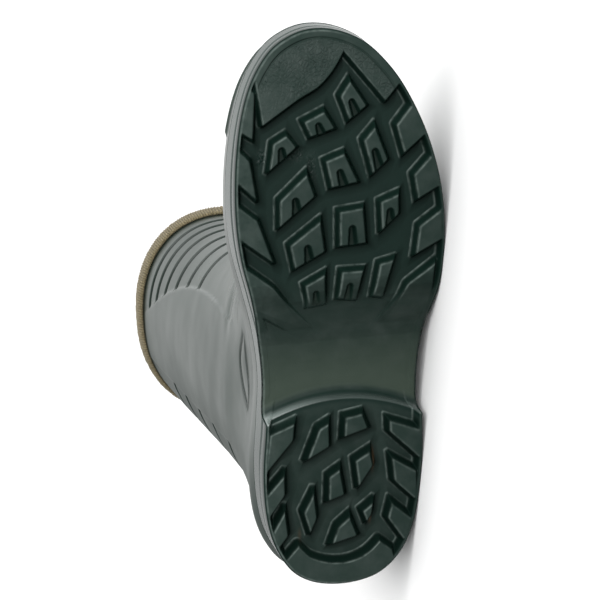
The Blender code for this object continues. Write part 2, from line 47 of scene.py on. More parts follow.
SPRING_LIMIT = 1.2

# Sole outline, half widths either side of the foot line: along, lateral, medial
OUTLINE = (
    (0.0, -1.0, 1.0),
    (3.0, 17.0, 18.5),
    (9.0, 26.5, 28.5),
    (18.0, 34.0, 35.5),
    (32.0, 40.0, 41.5),
    (50.0, 43.5, 44.6),
    (72.0, 45.6, 45.0),
    (95.0, 45.8, 43.0),
    (120.0, 47.0, 41.5),
    (145.0, 51.0, 44.0),
    (168.0, 56.0, 49.0),
    (190.0, 58.9, 54.0),
    (210.0, 58.7, 56.2),
    (230.0, 56.0, 56.2),
    (250.0, 50.8, 54.3),
    (268.0, 43.7, 50.6),
    (282.0, 36.3, 45.5),
    (293.0, 28.0, 38.8),
    (301.0, 19.5, 31.2),
    (306.5, 9.0, 21.5),
    (LENGTH, -7.0, 7.0),
)

# Height of the sole's side and of its foot bed, before toe spring: along, side top, bed
SOLE_TOP = (
    (0.0, 25.0, 17.0),
    (60.0, 24.0, 17.0),
    (110.0, 25.5, 21.0),
    (150.0, 27.0, 20.0),
    (205.0, 27.0, 15.0),
    (245.0, 22.0, 13.5),
    (270.0, 17.5, 12.5),
    (LENGTH, 16.0, 12.0),
)

# Upper, one row per fold from feather line to collar: front point, back point,
# share of the sole outline at heel, waist and ball, share of round section,
# half width, fullest place and roundness of that section
UPPER = (
    (309.8, 32.3, -0.3, 25.3, 1.00, 1.00, 1.00, 0.00, 48.0, 0.50, 2.2),
    (306.0, 40.0, -4.2, 33.0, 1.02, 1.00, 0.985, 0.00, 48.0, 0.50, 2.2),
    (301.8, 48.0, -4.8, 42.0, 1.00, 0.97, 0.96, 0.00, 47.0, 0.48, 2.2),
    (294.5, 59.0, -4.4, 52.0, 0.96, 0.91, 0.91, 0.00, 45.0, 0.45, 2.1),
    (284.0, 70.0, -3.4, 63.0, 0.93, 0.86, 0.83, 0.08, 43.0, 0.40, 2.1),
    (264.0, 79.5, -2.0, 75.0, 0.91, 0.82, 0.73, 0.25, 41.5, 0.36, 2.0),
    (240.0, 88.0, 0.0, 88.0, 0.90, 0.82, 0.66, 0.50, 41.0, 0.34, 2.0),
    (212.0, 98.0, 2.6, 101.0, 0.90, 0.82, 0.62, 0.78, 41.0, 0.34, 2.0),
    (188.0, 112.0, 4.6, 116.0, 0.92, 0.82, 0.60, 1.00, 41.8, 0.37, 2.0),
    (170.0, 131.0, 6.0, 133.0, 0.92, 0.82, 0.60, 1.00, 43.3, 0.42, 2.05),
    (158.0, 155.0, 6.8, 153.0, 0.92, 0.82, 0.60, 1.00, 45.3, 0.46, 2.1),
    (150.0, 185.0, 7.0, 180.0, 0.92, 0.82, 0.60, 1.00, 48.0, 0.49, 2.15),
    (145.5, 220.0, 6.6, 212.0, 0.92, 0.82, 0.60, 1.00, 51.0, 0.50, 2.2),
    (142.5, 260.0, 5.8, 255.0, 0.92, 0.82, 0.60, 1.00, 54.7, 0.50, 2.25),
    (140.0, 312.0, 5.2, 308.0, 0.92, 0.82, 0.60, 1.00, 59.2, 0.50, 2.26),
)
SHAFT_SHIFT = -1.3
TOP_FOLD = len(UPPER) - 1.0
COLLAR_RISE = UPPER[-1][1] - UPPER[-2][1]
# Folds over which the feather line's curve fades, and how fast
FEATHER_FADE = 5.0
FEATHER_FALL = 1.5
# Places from heel to toe where the shares of the outline hold
WIDTH_PLACES = (0.0, 0.18, 0.42, 0.70, 1.0)

# Side of the sole from tread to feather edge: share of its height, inset
SIDE_WALL = (
    (0.01, 1.0),
    (0.05, 0.4),
    (0.34, 0.2),
    (0.38, 1.0),
    (0.46, 1.0),
    (0.50, 0.2),
    (0.92, 0.0),
)
LEDGE_INSET = 5.0
FLOOR_FORE = 6.2
FLOOR_HEEL = 7.2
RIM = 0.8
DRAFT = 2.3

# Heel breast: place of its line, bow, half width, limit of the bow
BREAST_X = 106.9
BREAST_BOW = 10.0
BREAST_HALF = 42.0
BREAST_LIMIT = 1.2
# Underside of the shank: distance ahead of the breast line, height
BREAST = (
    (0.0, FLOOR_HEEL),
    (0.9, 11.0),
    (2.4, 13.6),
    (6.0, 15.4),
    (16.0, 17.0),
)
# The same underside on to the forefoot: along, height
SHANK = (
    (126.0, 16.0),
    (138.0, 15.2),
    (147.0, 12.8),
    (156.0, 9.4),
    (160.0, 7.4),
    (164.0, FLOOR_FORE),
)
# Lug tops and rim rising into the shank: along, height
RAMP = (
    (126.0, 16.3),
    (138.0, 15.4),
    (146.0, 12.9),
    (152.0, 9.2),
    (158.0, 5.8),
    (164.0, 3.0),
    (170.0, 1.1),
    (176.0, 0.0),
)
RAMP_BACK = 0.5

# Lugs: name, middle along and across, length, front width, rear width,
# shift of front edge across, run of front edge and of rear edge
LUGS = (
    ('A1', 248.5, -30.0, 9.7, 7.1, 14.2, -1.1, 3.8, 10.7),
    ('B1', 260.0, -9.4, 8.0, 10.8, 12.5, -3.9, 4.6, 3.4),
    ('C1', 271.2, 9.3, 12.3, 5.5, 9.3, -5.8, 7.1, 6.3),
    ('A2', 221.4, -23.5, 12.6, 14.7, 18.8, -1.7, 12.9, 14.8),
    ('B2', 234.9, 1.1, 14.4, 9.8, 13.7, -4.7, 3.3, 2.0),
    ('C2', 244.7, 20.6, 17.3, 6.1, 8.0, -5.1, 6.3, 6.5),
    ('A3', 195.2, -17.5, 14.2, 16.4, 16.0, -2.2, 11.8, 8.0),
    ('B3', 204.1, 7.1, 18.5, 12.4, 14.1, -0.5, 1.2, 0.7),
    ('C3', 212.0, 28.1, 12.5, 9.4, 9.0, -0.2, 3.4, 8.1),
    ('A4', 169.6, -13.2, 13.4, 10.4, 7.9, -1.0, 5.2, 1.0),
    ('B4', 172.3, 5.5, 14.7, 11.4, 8.9, 3.0, -0.2, -1.2),
    ('C4', 174.1, 23.5, 18.3, 7.2, 4.4, 4.9, 1.6, -0.9),
    ('R1', 254.7, 40.4, 15.3, 10.1, 11.8, -4.5, 10.6, 9.3),
    ('R2', 227.8, 48.5, 14.9, 11.2, 11.8, -2.4, 10.6, 6.3),
    ('R3', 198.2, 50.2, 15.3, 12.0, 14.7, 0.8, 8.2, 7.2),
    ('R4', 162.0, 41.6, 26.6, 15.0, 23.0, 7.4, 10.5, 5.5),
    ('L0', 268.0, -46.5, 22.0, 4.0, 6.0, 3.6, -2.0, -4.0),
    ('L1', 237.3, -51.0, 17.9, 7.5, 12.0, -0.4, -6.2, -10.0),
    ('L2', 205.7, -48.9, 20.0, 13.1, 20.3, -3.9, -9.0, -13.9),
    ('L3', 167.2, -38.8, 25.8, 17.7, 28.4, -13.2, -12.5, -16.0),
    ('H1', 86.3, -12.1, 14.4, 4.9, 11.6, 3.2, 2.7, 6.0),
    ('H2', 93.4, 7.0, 9.2, 9.0, 12.7, -1.1, 1.4, 3.6),
    ('H3', 68.6, 11.9, 10.9, 7.7, 7.7, -1.6, 4.4, 11.0),
    ('H4', 58.9, -4.5, 13.8, 5.5, 8.3, -0.9, 3.5, 2.6),
    ('H5', 43.4, -18.6, 12.5, 5.3, 3.5, -2.3, 10.0, 7.6),
    ('H6', 31.7, 0.0, 9.8, 6.3, 13.5, -0.3, 5.1, 3.2),
    ('H7', 41.2, 13.9, 5.5, 5.1, 2.6, -0.7, 3.8, 3.9),
    ('HL1', 86.4, -35.3, 15.2, 13.1, 17.8, 3.2, 4.9, 17.7),
    ('HL2', 55.8, -39.2, 11.4, 11.0, 12.3, 0.6, 11.2, 12.6),
    ('HL3', 34.4, -37.0, 11.0, 9.1, 7.5, -2.2, 12.1, 7.0),
    ('HR1', 84.1, 35.8, 11.2, 18.4, 17.5, 0.3, -7.0, -17.4),
    ('HR2', 59.4, 35.4, 14.9, 13.5, 13.8, -1.4, -8.9, -12.5),
    ('HR3', 34.5, 31.9, 10.4, 11.4, 11.0, 2.3, -10.3, -14.7),
)
# Rear edge of the toe plate: along, across
TOE_PLATE = (
    (270.4, 27.8),
    (297.0, 7.0),
    (289.0, 1.5),
    (281.6, -5.6),
    (273.8, -19.4),
    (261.7, -39.2),
)
TOE_PLATE_LATERAL = 275.6
TOE_PLATE_MEDIAL = 282.5
# Front edge of the heel pad: along, across
HEEL_PAD = (
    (17.0, -34.0),
    (25.5, -26.0),
    (19.5, -21.0),
    (15.5, -14.0),
    (13.4, -6.0),
    (13.4, 3.0),
    (15.5, 10.0),
    (19.0, 15.5),
    (23.5, 20.0),
    (17.5, 27.0),
)
HEEL_PAD_END = 16.0
EDGE_INSET = 1.3

# Upper wall and the steps in it
WALL = 3.0
BODY_STEP = 0.8
RAND_LEVEL = 1.6
TOE_CAP_X = 250.0
TOE_CAP_LEVEL = 4.4
FRONT_GROOVES = (200.5, 222.5, 242.0, 260.5, 276.5, 291.0)
BACK_GROOVES = (125.0, 158.5, 188.0, 216.0, 243.0)
BACK_GROOVE_END = 46.0
# Front edge of the smooth side panel: height, along
PANEL_EDGE = (
    (93.0, 124.0),
    (128.0, 123.5),
    (159.0, 124.0),
    (192.0, 121.6),
    (223.0, 115.5),
    (251.0, 105.0),
    (272.0, 94.0),
    (291.0, 83.0),
    (320.0, 64.0),
)

# Cuff section round the shaft's top edge: out from the shaft, up from its edge
CUFF = (
    (0.3, -4.2),
    (1.5, -5.2),
    (2.7, -4.4),
    (3.2, -1.0),
    (3.3, 6.0),
    (2.6, 9.6),
    (0.4, 11.4),
    (-2.4, 11.2),
    (-4.6, 9.2),
    (-5.5, 3.0),
    (-5.4, -7.0),
    (-4.0, -8.4),
    (-3.3, -7.6),
    (-3.3, 0.3),
    (0.3, 0.3),
)

INSOLE_INSET = 7.2
INSOLE_THICK = 5.0
# Section of the insole's edge: further inset, height
INSOLE_EDGE = (
    (14.0, 0.0),
    (0.8, 0.0),
    (0.2, 0.3),
    (0.0, 0.8),
    (0.0, INSOLE_THICK - 1.0),
    (0.3, INSOLE_THICK - 0.3),
    (1.0, INSOLE_THICK),
    (14.0, INSOLE_THICK),
)

SOLE_STEPS = 40
MM = 0.001

# How the boot lies: direction of the floor and place of the heel point, standing frame to row frame
FLOOR_SIDE = (-0.108185, 0.992911, -0.049226)
REST_SHIFT = (-0.151549, -0.160949, 0.037518)

# Camera in the standing frame, millimetres
CAMERA_AT = (499.7, -282.2, -1120.8)
CAMERA_AIM = (166.1, -22.0, 2.2)
CAMERA_UP = (0.9604, 0.0842, 0.2657)
CAMERA_LENS = 134.8
CAMERA_SENSOR = 36.0
# How far the camera sees, metres
CAMERA_REACH = 100.0

# Fine tread: columns, rows of each part, where the parts meet, inset of their edge, crowding of end rows
TREAD_COLUMNS = 215
FORE_ROWS = 450
HEEL_ROWS = 300
TREAD_SPLIT = 116.0
TREAD_EDGE = 1.0
END_CROWDING = 0.08
EDGE_STEPS = 400
EDGE_BATCH = 8000
SIDE_STEPS = 500
PLATE_POINTS = 24

# Lug walls, their corners and cut tips, and the rounding of tops, feet, sole edge, ramp and breast
WALL_SLOPE = FLOOR_FORE / DRAFT
CORNER = 0.9
TIP_CUT = 0.64
TOP_ROUND = 0.9
BASE_ROUND = 0.9
EDGE_ROUND = 0.5
EDGE_WIDTH = 1.1
RAMP_ROUND = 0.5
BREAST_ROUND = 2.6
BREAST_REACH = 5.0
COVE_ROUND = 2.0
# Half length and half width of the plan that a lug can reach from its middle
LUG_WINDOW = (30.0, 32.0)

# Slits in the lugs: rows that have them, the lug without, half widths, slope, depth, place of the ends
SLIT_ROWS = 'ABC'
PLAIN_LUG = 'C4'
SLIT_HEAD = 1.9
SLIT_REAR = 3.0
SLIT_SLOPE = 2.8
SLIT_DEPTH = 3.4
SLIT_HEAD_BACK = 0.6
SLIT_OVERRUN = 3.0
SLIT_MARGIN = 1.2

# Fine line inside the toe plate's border, and the bead along the edges of the shank
BORDER_INSET = 5.2
BORDER_DEPTH = 0.35
BORDER_HALF = 0.45
BEAD_INSET = 4.6
BEAD_HEIGHT = 0.35
BEAD_SOFT = 0.4
BEAD_START = (8.0, 12.0)
BEAD_END = (150.0, 158.0)

# Where looks of the tread fade in or out, and the least share of the cove's gloss and painted highlight
SHANK_START = (0.5, 4.0)
SHANK_END = (158.0, 168.0)
PALE_START = (0.5, 7.0)
PALE_END = (98.0, 186.0)
HEEL_END = (-4.0, -1.0)
COVE_START = (-0.8, 0.4)
COVE_END = (4.0, 9.0)
COVE_RISE = (FLOOR_HEEL + 1.0, FLOOR_HEEL + 6.5)
COVE_HIGHLIGHT_FADE = (-40.0, 0.0)
COVE_HIGHLIGHT_LEAST = 0.3
RIM_FADE = (-10.0, 15.0)
INNER_TOP_LIGHT_FADE = (-46.0, -24.0)
INNER_START = (2.0, 2.5)
LINE_INSET = 2.6
BREAST_CLEAR = 4.5

# Plan direction of the side that wear and light reach first: along the toe, across
WORN_SIDE = (0.55, -0.83)
# Wear with a painted highlight, and painted corner shade, of an edge: level, change with the way it faces
LIT_AND_WORN_EDGE = (0.35, 0.75)
SHADED_CORNER = (0.3, -0.9)
# Edges with wear and painted highlights at lug tops, lug feet and the sole's rim: middle, half width
TOP_LINE = (-0.15, 0.34)
FOOT_LINE = (0.15, 0.36)
RIM_LINE = (1.6, 0.45)
# Strength of the painted highlight on the rim, and of the painted light on the lug tops along the inner
# side
RIM_HIGHLIGHT = 0.8
INNER_TOP_LIGHT = 0.12

# Tone of lug tops, and of the painted shade in slits, on flanks and in corners
TOP_SOFT = 0.5
LUG_SHARE = 0.5
HEEL_TOP = 0.7
SLIT_DARK = 1.2
SLIT_DARK_MARGIN = 1.0
FLANK_STEEP = 1.2
FLANK_FOOT = 0.75
FACING_SOFT = 0.5
FACING_SHADE = 1.25
CORNER_REACH = 2.6
CORNER_START = -0.8
CORNER_SHADE = 0.9
HEEL_FLANK_SHADE = 0.35
SHANK_DUST = 0.05
GRAIN_EDGE = 1.5
GRAIN_BORDER = 0.8

# Rough spots on the forefoot floor: along, across, long and wide reach
SCUFFS = (
    (244.0, -21.0, 4.0, 3.5),
    (236.0, -13.0, 9.0, 3.0),
    (243.0, -38.0, 5.0, 4.0),
)

# Dirt on the tread: along, across, long and wide spread, strength
DIRT = (
    (70.0, 18.0, 5.0, 0.9, 0.9),
    (36.0, 16.0, 3.0, 0.8, 0.7),
    (30.0, -24.0, 3.0, 1.0, 0.4),
)

# Side of the sole: steps round it, rows up it and the first one's share of its height
WALL_STEPS = 330
WALL_ROWS = 60
WALL_START = 0.04
# The line round the side, painted in shade: stations where it fades in, least share at the heel, height,
# half width, shade
WALL_LINE_FADE = (60.0, 115.0)
WALL_LINE_LEAST = 0.3
WALL_LINE = (0.42, 0.035)
WALL_LINE_SHADE = 0.8
# Polish of the side with a painted highlight, its share at the heel and the heights where it fades in
WALL_GLOSS_AND_HIGHLIGHT = 0.30
WALL_GLOSS_AND_HIGHLIGHT_HEEL = 0.6
WALL_GLOSS_AND_HIGHLIGHT_FADE = (0.10, 0.30)

# Fine upper: steps round half of it, rows up it, and rows that follow grooves, rand and toe cap
AROUND = 150
BETWEEN_ROWS = 110
GROOVE_ROWS = (-3.0, -2.7, -2.5, -2.3, -2.1, -1.9, -1.2, 0.0, 1.2, 1.9, 2.1, 2.3, 2.5, 2.7, 3.0)
STEP_ROWS = 7
RAND_ROWS_REACH = 0.08
CAP_ROWS_REACH = 0.12
LEAST_ROW_GAP = 0.001
FOLD_SAMPLES = 1401
FOLD_NUDGE = 0.02
NORMAL_NUDGE = 0.05

# Grooves, rand and toe cap with rounded edges
GROOVE_HALF = 2.3
GROOVE_DEPTH = 1.7
GROOVE_SOFT = 0.3
GROOVE_END_SOFT = 1.4
RAND_SOFT = 0.06
CAP_RISE = 1.3
CAP_FOLD = 10.0
CAP_ROUND = 9.0
CAP_SOFT = 1.0
# Smooth side panel: rise, soft edge, heights where it fades in and out, and the painted highlight line on
# its edge
PANEL_RISE = 0.7
PANEL_SOFT = 0.6
PANEL_FOOT = (96.0, 124.0)
PANEL_TOP = (300.0, 304.0)
PANEL_HIGHLIGHT_LINE = (0.2, 0.9)
PANEL_HIGHLIGHT_FOOT = (106.0, 122.0)
# Heights from the collar down where the cuff's shade begins, and stations where the heel's gloss fades
UNDER_CUFF = (-10.5, -9.0)
REAR_FADE = (25.0, 95.0)

# Raised crescent low on the inner side: along, lower edge, upper edge
LENS = (
    (82.0, 70.0, 74.0),
    (90.0, 72.5, 84.0),
    (100.0, 77.0, 89.0),
    (110.0, 79.8, 90.2),
    (118.0, 81.0, 87.0),
    (126.0, 82.0, 82.5),
)
# First fold, last fold and spacing of the rows that cross the crescent
LENS_LEVELS = (4.35, 6.45, 0.07)
LENS_REAR = (80.5, 83.5)
LENS_FRONT = (124.0, 126.0)
LENS_LIP = (-0.3, 0.6)
LENS_RISE = 0.5
LENS_TAPER = 7.0
LENS_TROUGH = 0.7
LENS_TROUGH_HALF = 1.1
LENS_LINE = 1.2
LENS_LINE_ABOVE = 0.5
LENS_LINE_SHADE = 0.8

# Soft creases of the upper: middle along, height, rise toward the toe, depth, half width, half length
CREASES = (
    (85.0, 262.0, 0.12, 0.10, 9.0, 35.0),
    (55.0, 228.0, -0.08, 0.16, 11.0, 45.0),
    (95.0, 196.0, 0.15, 0.12, 10.0, 30.0),
    (50.0, 165.0, 0.10, 0.20, 12.0, 45.0),
    (85.0, 134.0, -0.12, 0.22, 10.0, 35.0),
    (145.0, 128.0, 0.35, 0.90, 6.0, 26.0),
    (155.0, 112.0, 0.45, 1.00, 6.0, 24.0),
)

# Lining and insole
LINING_ROWS = 90
LINING_AROUND = 100
INSOLE_STEPS = 90

# Knit cuff: rows round its section, ribs round the boot, rows that are eased, ribbed and loose, yarn
CUFF_ROWS = 60
KNIT_RIBS = 240
KNIT_RIB_HEIGHT = 0.40
KNIT_FUZZ = 0.12
KNIT_SEED = 7
EASED_ROWS = (2, 48)
EASED_SWEEPS = 2
RIBBED_ROWS = 40
LOOSE_ROWS = (3, 44)

# Vertices closer than this, in metres, become one
MERGE = 0.000001

# Colours, linear
SOLE_FLOOR = (0.0056, 0.0152, 0.0120)
# Over it, in order: lug tops, dust, shank, painted shade in slits, painted shade on flanks, painted shade,
# edges with wear and painted highlights, dirt, painted highlight with the gloss of the cove and the sole's
# side
SOLE_PAINTS = (
    (0.0125, 0.0235, 0.0195),
    (0.040, 0.053, 0.048),
    (0.0340, 0.0500, 0.0385),
    (0.0055, 0.0120, 0.0090),
    (0.0045, 0.0125, 0.0095),
    (0.0012, 0.0030, 0.0022),
    (0.090, 0.115, 0.105),
    (0.055, 0.036, 0.020),
    (0.150, 0.180, 0.170),
)
UPPER_COLOUR = (0.026, 0.040, 0.033)
UPPER_SHADE = (0.018, 0.031, 0.025)
# Painted highlight for the panel's edge
UPPER_EDGE_HIGHLIGHT = (0.090, 0.104, 0.098)
# Painted shade for the grooves, the crescent's outline and the band under the cuff
GROOVE_SHADE_COLOUR = (0.006, 0.012, 0.009)
KNIT_LIGHT = (0.278, 0.234, 0.140)
KNIT_DARK = (0.112, 0.094, 0.052)
# Painted shade between the cuff's ribs
KNIT_VALLEY_SHADE = (0.070, 0.058, 0.034)
LINING_LIGHT = (0.200, 0.165, 0.120)
LINING_DARK = (0.110, 0.090, 0.065)
FELT_LIGHT = (0.060, 0.060, 0.058)
FELT_DARK = (0.028, 0.028, 0.027)
FLOOR_COLOUR = (0.93, 0.93, 0.93)

# Noise: scale, detail
DUST_NOISE = (90.0, 4.0)
WEAR_NOISE = (260.0, 3.0)
SOLE_PORES = (900.0, 2.0)
HIDE_WARP = (160.0, 2.0)
HIDE_PATCHES = (32.0, 1.0)
UPPER_CLOUD = (14.0, 3.0)
UPPER_WAVES = (26.0, 2.0)
UPPER_PORES = (1200.0, 2.0)
KNIT_DETAIL = 5.0
CUFF_SCALE = 1000.0
LINING_SCALE = 500.0
FELT_SCALE = 400.0
HIDE_SCALE = 420.0
HIDE_BEND = 0.004

# From one range to another: lowest and highest in, lowest and highest out
DUST_RANGE = (0.42, 0.72, 0.0, 0.35)
WEAR_RANGE = (0.3, 0.6, 0.25, 1.0)
PATCH_RANGE = (0.40, 0.60, 0.25, 1.0)
HIDE_RANGE = (0.0, 0.3, 0.0, 1.0)
CLOUD_RANGE = (0.35, 0.7, 0.0, 1.0)
CLOUD_ROUGH = (0.3, 0.7, 0.26, 0.36)
KNIT_RANGE = (0.35, 0.68, 0.0, 1.0)
VALLEY_SHADE_RANGE = (0.3, 1.0, 0.0, 0.75)

# Bumps: strength, height in metres
SOLE_PORE_BUMP = (0.10, 0.0004)
HIDE_BUMP = (0.8, 0.0006)
UPPER_WAVE_BUMP = (0.22, 0.004)
UPPER_PORE_BUMP = (0.06, 0.0003)
KNIT_BUMP = (0.7, 0.0012)

# Roughness and gloss, with what masks make of them at full strength
SOLE_ROUGH = 0.35
TOP_ROUGH = (0.30, 0.45)
COVE_ROUGH = 0.5
SOLE_GLOSS = 0.08
COVE_GLOSS = 0.8
SHADE_GLOSS = 0.1
FLANK_GLOSS = 0.4
GRAIN_GLOSS = 1.7
UPPER_ROUGH = 0.32
REAR_ROUGH = 1.7
UPPER_GLOSS = 0.40
GROOVE_GLOSS = 0.1
CAP_GLOSS = 0.25
REAR_GLOSS = 0.55
UPPER_COAT = 0.08
UPPER_COAT_ROUGH = 0.3
KNIT_ROUGH = 0.95
MATT_GLOSS = 0.1
KNIT_SHEEN = 0.15
KNIT_SHEEN_ROUGH = 0.5
PAPER_ROUGH = 0.9

# Soft lights: name, kind, place, aim, size in metres or angle, power
LIGHTS = (
    ('key', 'SUN', (1.5, -1.2, 1.15), (0.0, 0.0, 0.0), 1.40, 2.2),
    ('front', 'AREA', (0.5, -1.6, 0.5), (0.0, -0.15, 0.05), 0.9, 11.0),
    ('above', 'AREA', (-0.3, 0.3, 2.2), (0.0, 0.1, 0.0), 2.0, 6.0),
)
# World brightness: level, change along toe, back and up, lowest and highest
SKY_LEVEL = 0.47
SKY_LEAN = (0.42, 0.65, 0.60)
SKY_ENDS = (0.10, 1.5)
# Half side of the floor in metres
FLOOR_REACH = 12.0


def column_of(table, index):
    return [row[index] for row in table]


def smooth(xs, ys, at):
    """Cubic through the rows of a table, with slopes from the neighbours."""
    xs = np.asarray(xs, float)
    ys = np.asarray(ys, float)
    slope = np.gradient(ys, xs)
    at = np.clip(np.asarray(at, float), xs[0], xs[-1])
    i = np.clip(np.searchsorted(xs, at, side='right') - 1, 0, len(xs) - 2)
    h = xs[i + 1] - xs[i]
    t = (at - xs[i]) / h
    return ((2 * t**3 - 3 * t**2 + 1) * ys[i] + (t**3 - 2 * t**2 + t) * h * slope[i]
            + (3 * t**2 - 2 * t**3) * ys[i + 1] + (t**3 - t**2) * h * slope[i + 1])


def ramp(start, end, value):
    """From 0 at the start to 1 at the end, level at both."""
    t = np.clip((value - start) / (end - start), 0.0, 1.0)
    return t * t * (3.0 - 2.0 * t)


def bell(value, middle, half):
    """A soft line: 1 at its middle and falling away over its half width."""
    return np.exp(-((value - middle) / half)**2)


def smin(a, b, k):
    """The smaller of two values, rounded where they meet."""
    return np.minimum(a, b) - np.maximum(k - np.abs(a - b), 0.0)**2 / (4.0 * k)


def smax(a, b, k):
    """The larger of two values, rounded where they meet."""
    return np.maximum(a, b) + np.maximum(k - np.abs(a - b), 0.0)**2 / (4.0 * k)


def turn_of(along):
    """Outline parameter 0 to 1 with even turning at heel and toe."""
    return np.arccos(np.clip(1.0 - 2.0 * np.asarray(along, float) / LENGTH, -1.0, 1.0)) / math.pi


OUTLINE_TURN = [float(turn_of(row[0])) for row in OUTLINE]


def outline_half(turn, column):
    return smooth(OUTLINE_TURN, column_of(OUTLINE, column), turn)


def toe_lift(along):
    reach = (np.asarray(along, float) - SPRING_START) / (LENGTH - SPRING_START)
    return TOE_SPRING * np.clip(reach, 0.0, SPRING_LIMIT)**2


def side_top(along):
    return smooth(column_of(SOLE_TOP, 0), column_of(SOLE_TOP, 1), along)


def bed_top(along):
    return smooth(column_of(SOLE_TOP, 0), column_of(SOLE_TOP, 2), along)


def feather_height(along):
    return side_top(along) + toe_lift(along)


def loop_turns(steps):
    """Turn and side for each vertex of a closed loop: out along the lateral side, back on the medial."""
    k = np.arange(steps + 1) / steps
    turn = np.concatenate([k, k[-2:0:-1]])
    side = np.concatenate([np.ones(steps + 1), -np.ones(steps - 1)])
    return turn, side


def outline_loop(steps, inset):
    """Sole outline in plan, moved inward by inset (a number or one per vertex)."""
    turn, side = loop_turns(steps)
    x = LENGTH * (1.0 - np.cos(math.pi * turn)) / 2.0
    y = np.where(side > 0, outline_half(turn, 1), -outline_half(turn, 2))
    ahead_x = np.roll(x, -1) - np.roll(x, 1)
    ahead_y = np.roll(y, -1) - np.roll(y, 1)
    size = np.hypot(ahead_x, ahead_y)
    return x + ahead_y / size * inset, y - ahead_x / size * inset


def upper_column(level, column):
    return smooth(np.arange(len(UPPER)), column_of(UPPER, column), level)


def upper_point(level, turn, side):
    """Outer surface of the upper without its raised details."""
    front_x, front_z = upper_column(level, 0), upper_column(level, 1)
    back_x, back_z = upper_column(level, 2), upper_column(level, 3)
    share = (1.0 - np.cos(math.pi * turn)) / 2.0
    x = back_x + (front_x - back_x) * share
    along = LENGTH * share
    feather = feather_height(along) + GAP
    straight = UPPER[0][3] + (UPPER[0][1] - UPPER[0][3]) * share
    keep = np.clip(1.0 - level / FEATHER_FADE, 0.0, 1.0)**FEATHER_FALL
    z = back_z + (front_z - back_z) * share + (feather - straight) * keep
    heel, waist, ball = upper_column(level, 4), upper_column(level, 5), upper_column(level, 6)
    weight = [smooth(WIDTH_PLACES, place, share) for place in np.eye(len(WIDTH_PLACES))]
    scale = heel * (weight[0] + weight[1]) + waist * weight[2] + ball * (weight[3] + weight[4])
    foot = np.where(side > 0, outline_half(turn, 1), -outline_half(turn, 2)) * scale
    fullest, bend = upper_column(level, 9), upper_column(level, 10)
    away = np.where(share < fullest, (fullest - share) / fullest, (share - fullest) / (1.0 - fullest))
    egg = upper_column(level, 8) * np.clip(1.0 - np.clip(away, 0, 1)**bend, 0.0, 1.0)**(1.0 / bend)
    shaft = SHAFT_SHIFT + side * egg
    mix = np.clip(upper_column(level, 7), 0.0, 1.0)
    y = foot * (1.0 - mix) + shaft * mix
    return np.stack((x, y, z), -1)


def upper_normal(level, turn, side):
    """Outward direction of the plain upper surface, from small moves along it."""
    low = np.clip(level - NORMAL_NUDGE, 0.0, TOP_FOLD)
    high = np.clip(level + NORMAL_NUDGE, 0.0, TOP_FOLD)
    rise = upper_point(high, turn, side) - upper_point(low, turn, side)
    ring = upper_point(level, turn, side)
    ahead = np.roll(ring, -1, 0) - np.roll(ring, 1, 0)
    out = np.cross(rise, ahead)
    return out / np.linalg.norm(out, axis=1)[:, None]


def level_at(height, column):
    """Fold number at which the front (1) or back (3) line reaches a height."""
    levels = np.linspace(0.0, TOP_FOLD, FOLD_SAMPLES)
    return float(np.interp(height, upper_column(levels, column), levels))


def fold_rise(level, column):
    """Height that the front (1) or back (3) line gains in one fold."""
    gain = upper_column(level + FOLD_NUDGE, column) - upper_column(level - FOLD_NUDGE, column)
    return float(gain) / (2.0 * FOLD_NUDGE)


def groove_lines():
    """Fold number and line, front (1) or back (3), of each groove."""
    front = [(level_at(height, 1), 1) for height in FRONT_GROOVES]
    back = [(level_at(height, 3), 3) for height in BACK_GROOVES]
    return front + back


def rest_matrix():
    down = Vector(FLOOR_SIDE).normalized()
    toe = (Vector((1.0, 0.0, 0.0)) - down * down.x).normalized()
    turn = Matrix((toe, (-down).cross(toe), -down))
    return Matrix.Translation(Vector(REST_SHIFT)) @ turn.to_4x4()


REST = rest_matrix()
REST_NP = np.array(REST)


def placed(points):
    """Standing millimetres to row-frame metres."""
    return np.asarray(points) * MM @ REST_NP[:3, :3].T + REST_NP[:3, 3]


def new_piece(name, points, faces, node, material, masks=None, marks=None):
    """A piece that stands for a solid, from standing points; masks and marks are a colour a vertex."""
    verts = placed(np.reshape(points, (-1, 3)))
    mesh = bpy.data.meshes.new(name)
    mesh.vertices.add(len(verts))
    mesh.vertices.foreach_set('co', np.asarray(verts, np.float32).ravel())
    faces = np.asarray(faces, np.int32)
    mesh.loops.add(faces.size)
    mesh.loops.foreach_set('vertex_index', faces.ravel())
    mesh.polygons.add(len(faces))
    mesh.polygons.foreach_set('loop_start', np.arange(len(faces), dtype=np.int32) * faces.shape[1])
    mesh.update(calc_edges=True)
    mesh.validate()
    mesh.shade_smooth()
    for title, values in (('masks', masks), ('marks', marks)):
        if values is not None:
            layer = mesh.color_attributes.new(title, 'FLOAT_COLOR', 'POINT')
            layer.data.foreach_set('color', np.asarray(values, np.float32).ravel())
    shape = bmesh.new()
    shape.from_mesh(mesh)
    bmesh.ops.remove_doubles(shape, verts=shape.verts, dist=MERGE)
    shape.to_mesh(mesh)
    shape.free()
    obj = bpy.data.objects.new(name, mesh)
    bpy.context.scene.collection.objects.link(obj)
    mesh.materials.append(material)
    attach(obj, 'root')
    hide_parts(node)
    return obj


def grid_faces(rows, columns, wrap):
    """Quads of a grid of vertices in row order; wrap joins the last column to the first."""
    r = np.arange(rows - 1)[:, None]
    c = np.arange(columns if wrap else columns - 1)[None, :]
    d = (c + 1) % columns
    quads = (r * columns + c, r * columns + d, (r + 1) * columns + d, (r + 1) * columns + c)
    return np.stack(np.broadcast_arrays(*quads), -1).reshape(-1, 4)


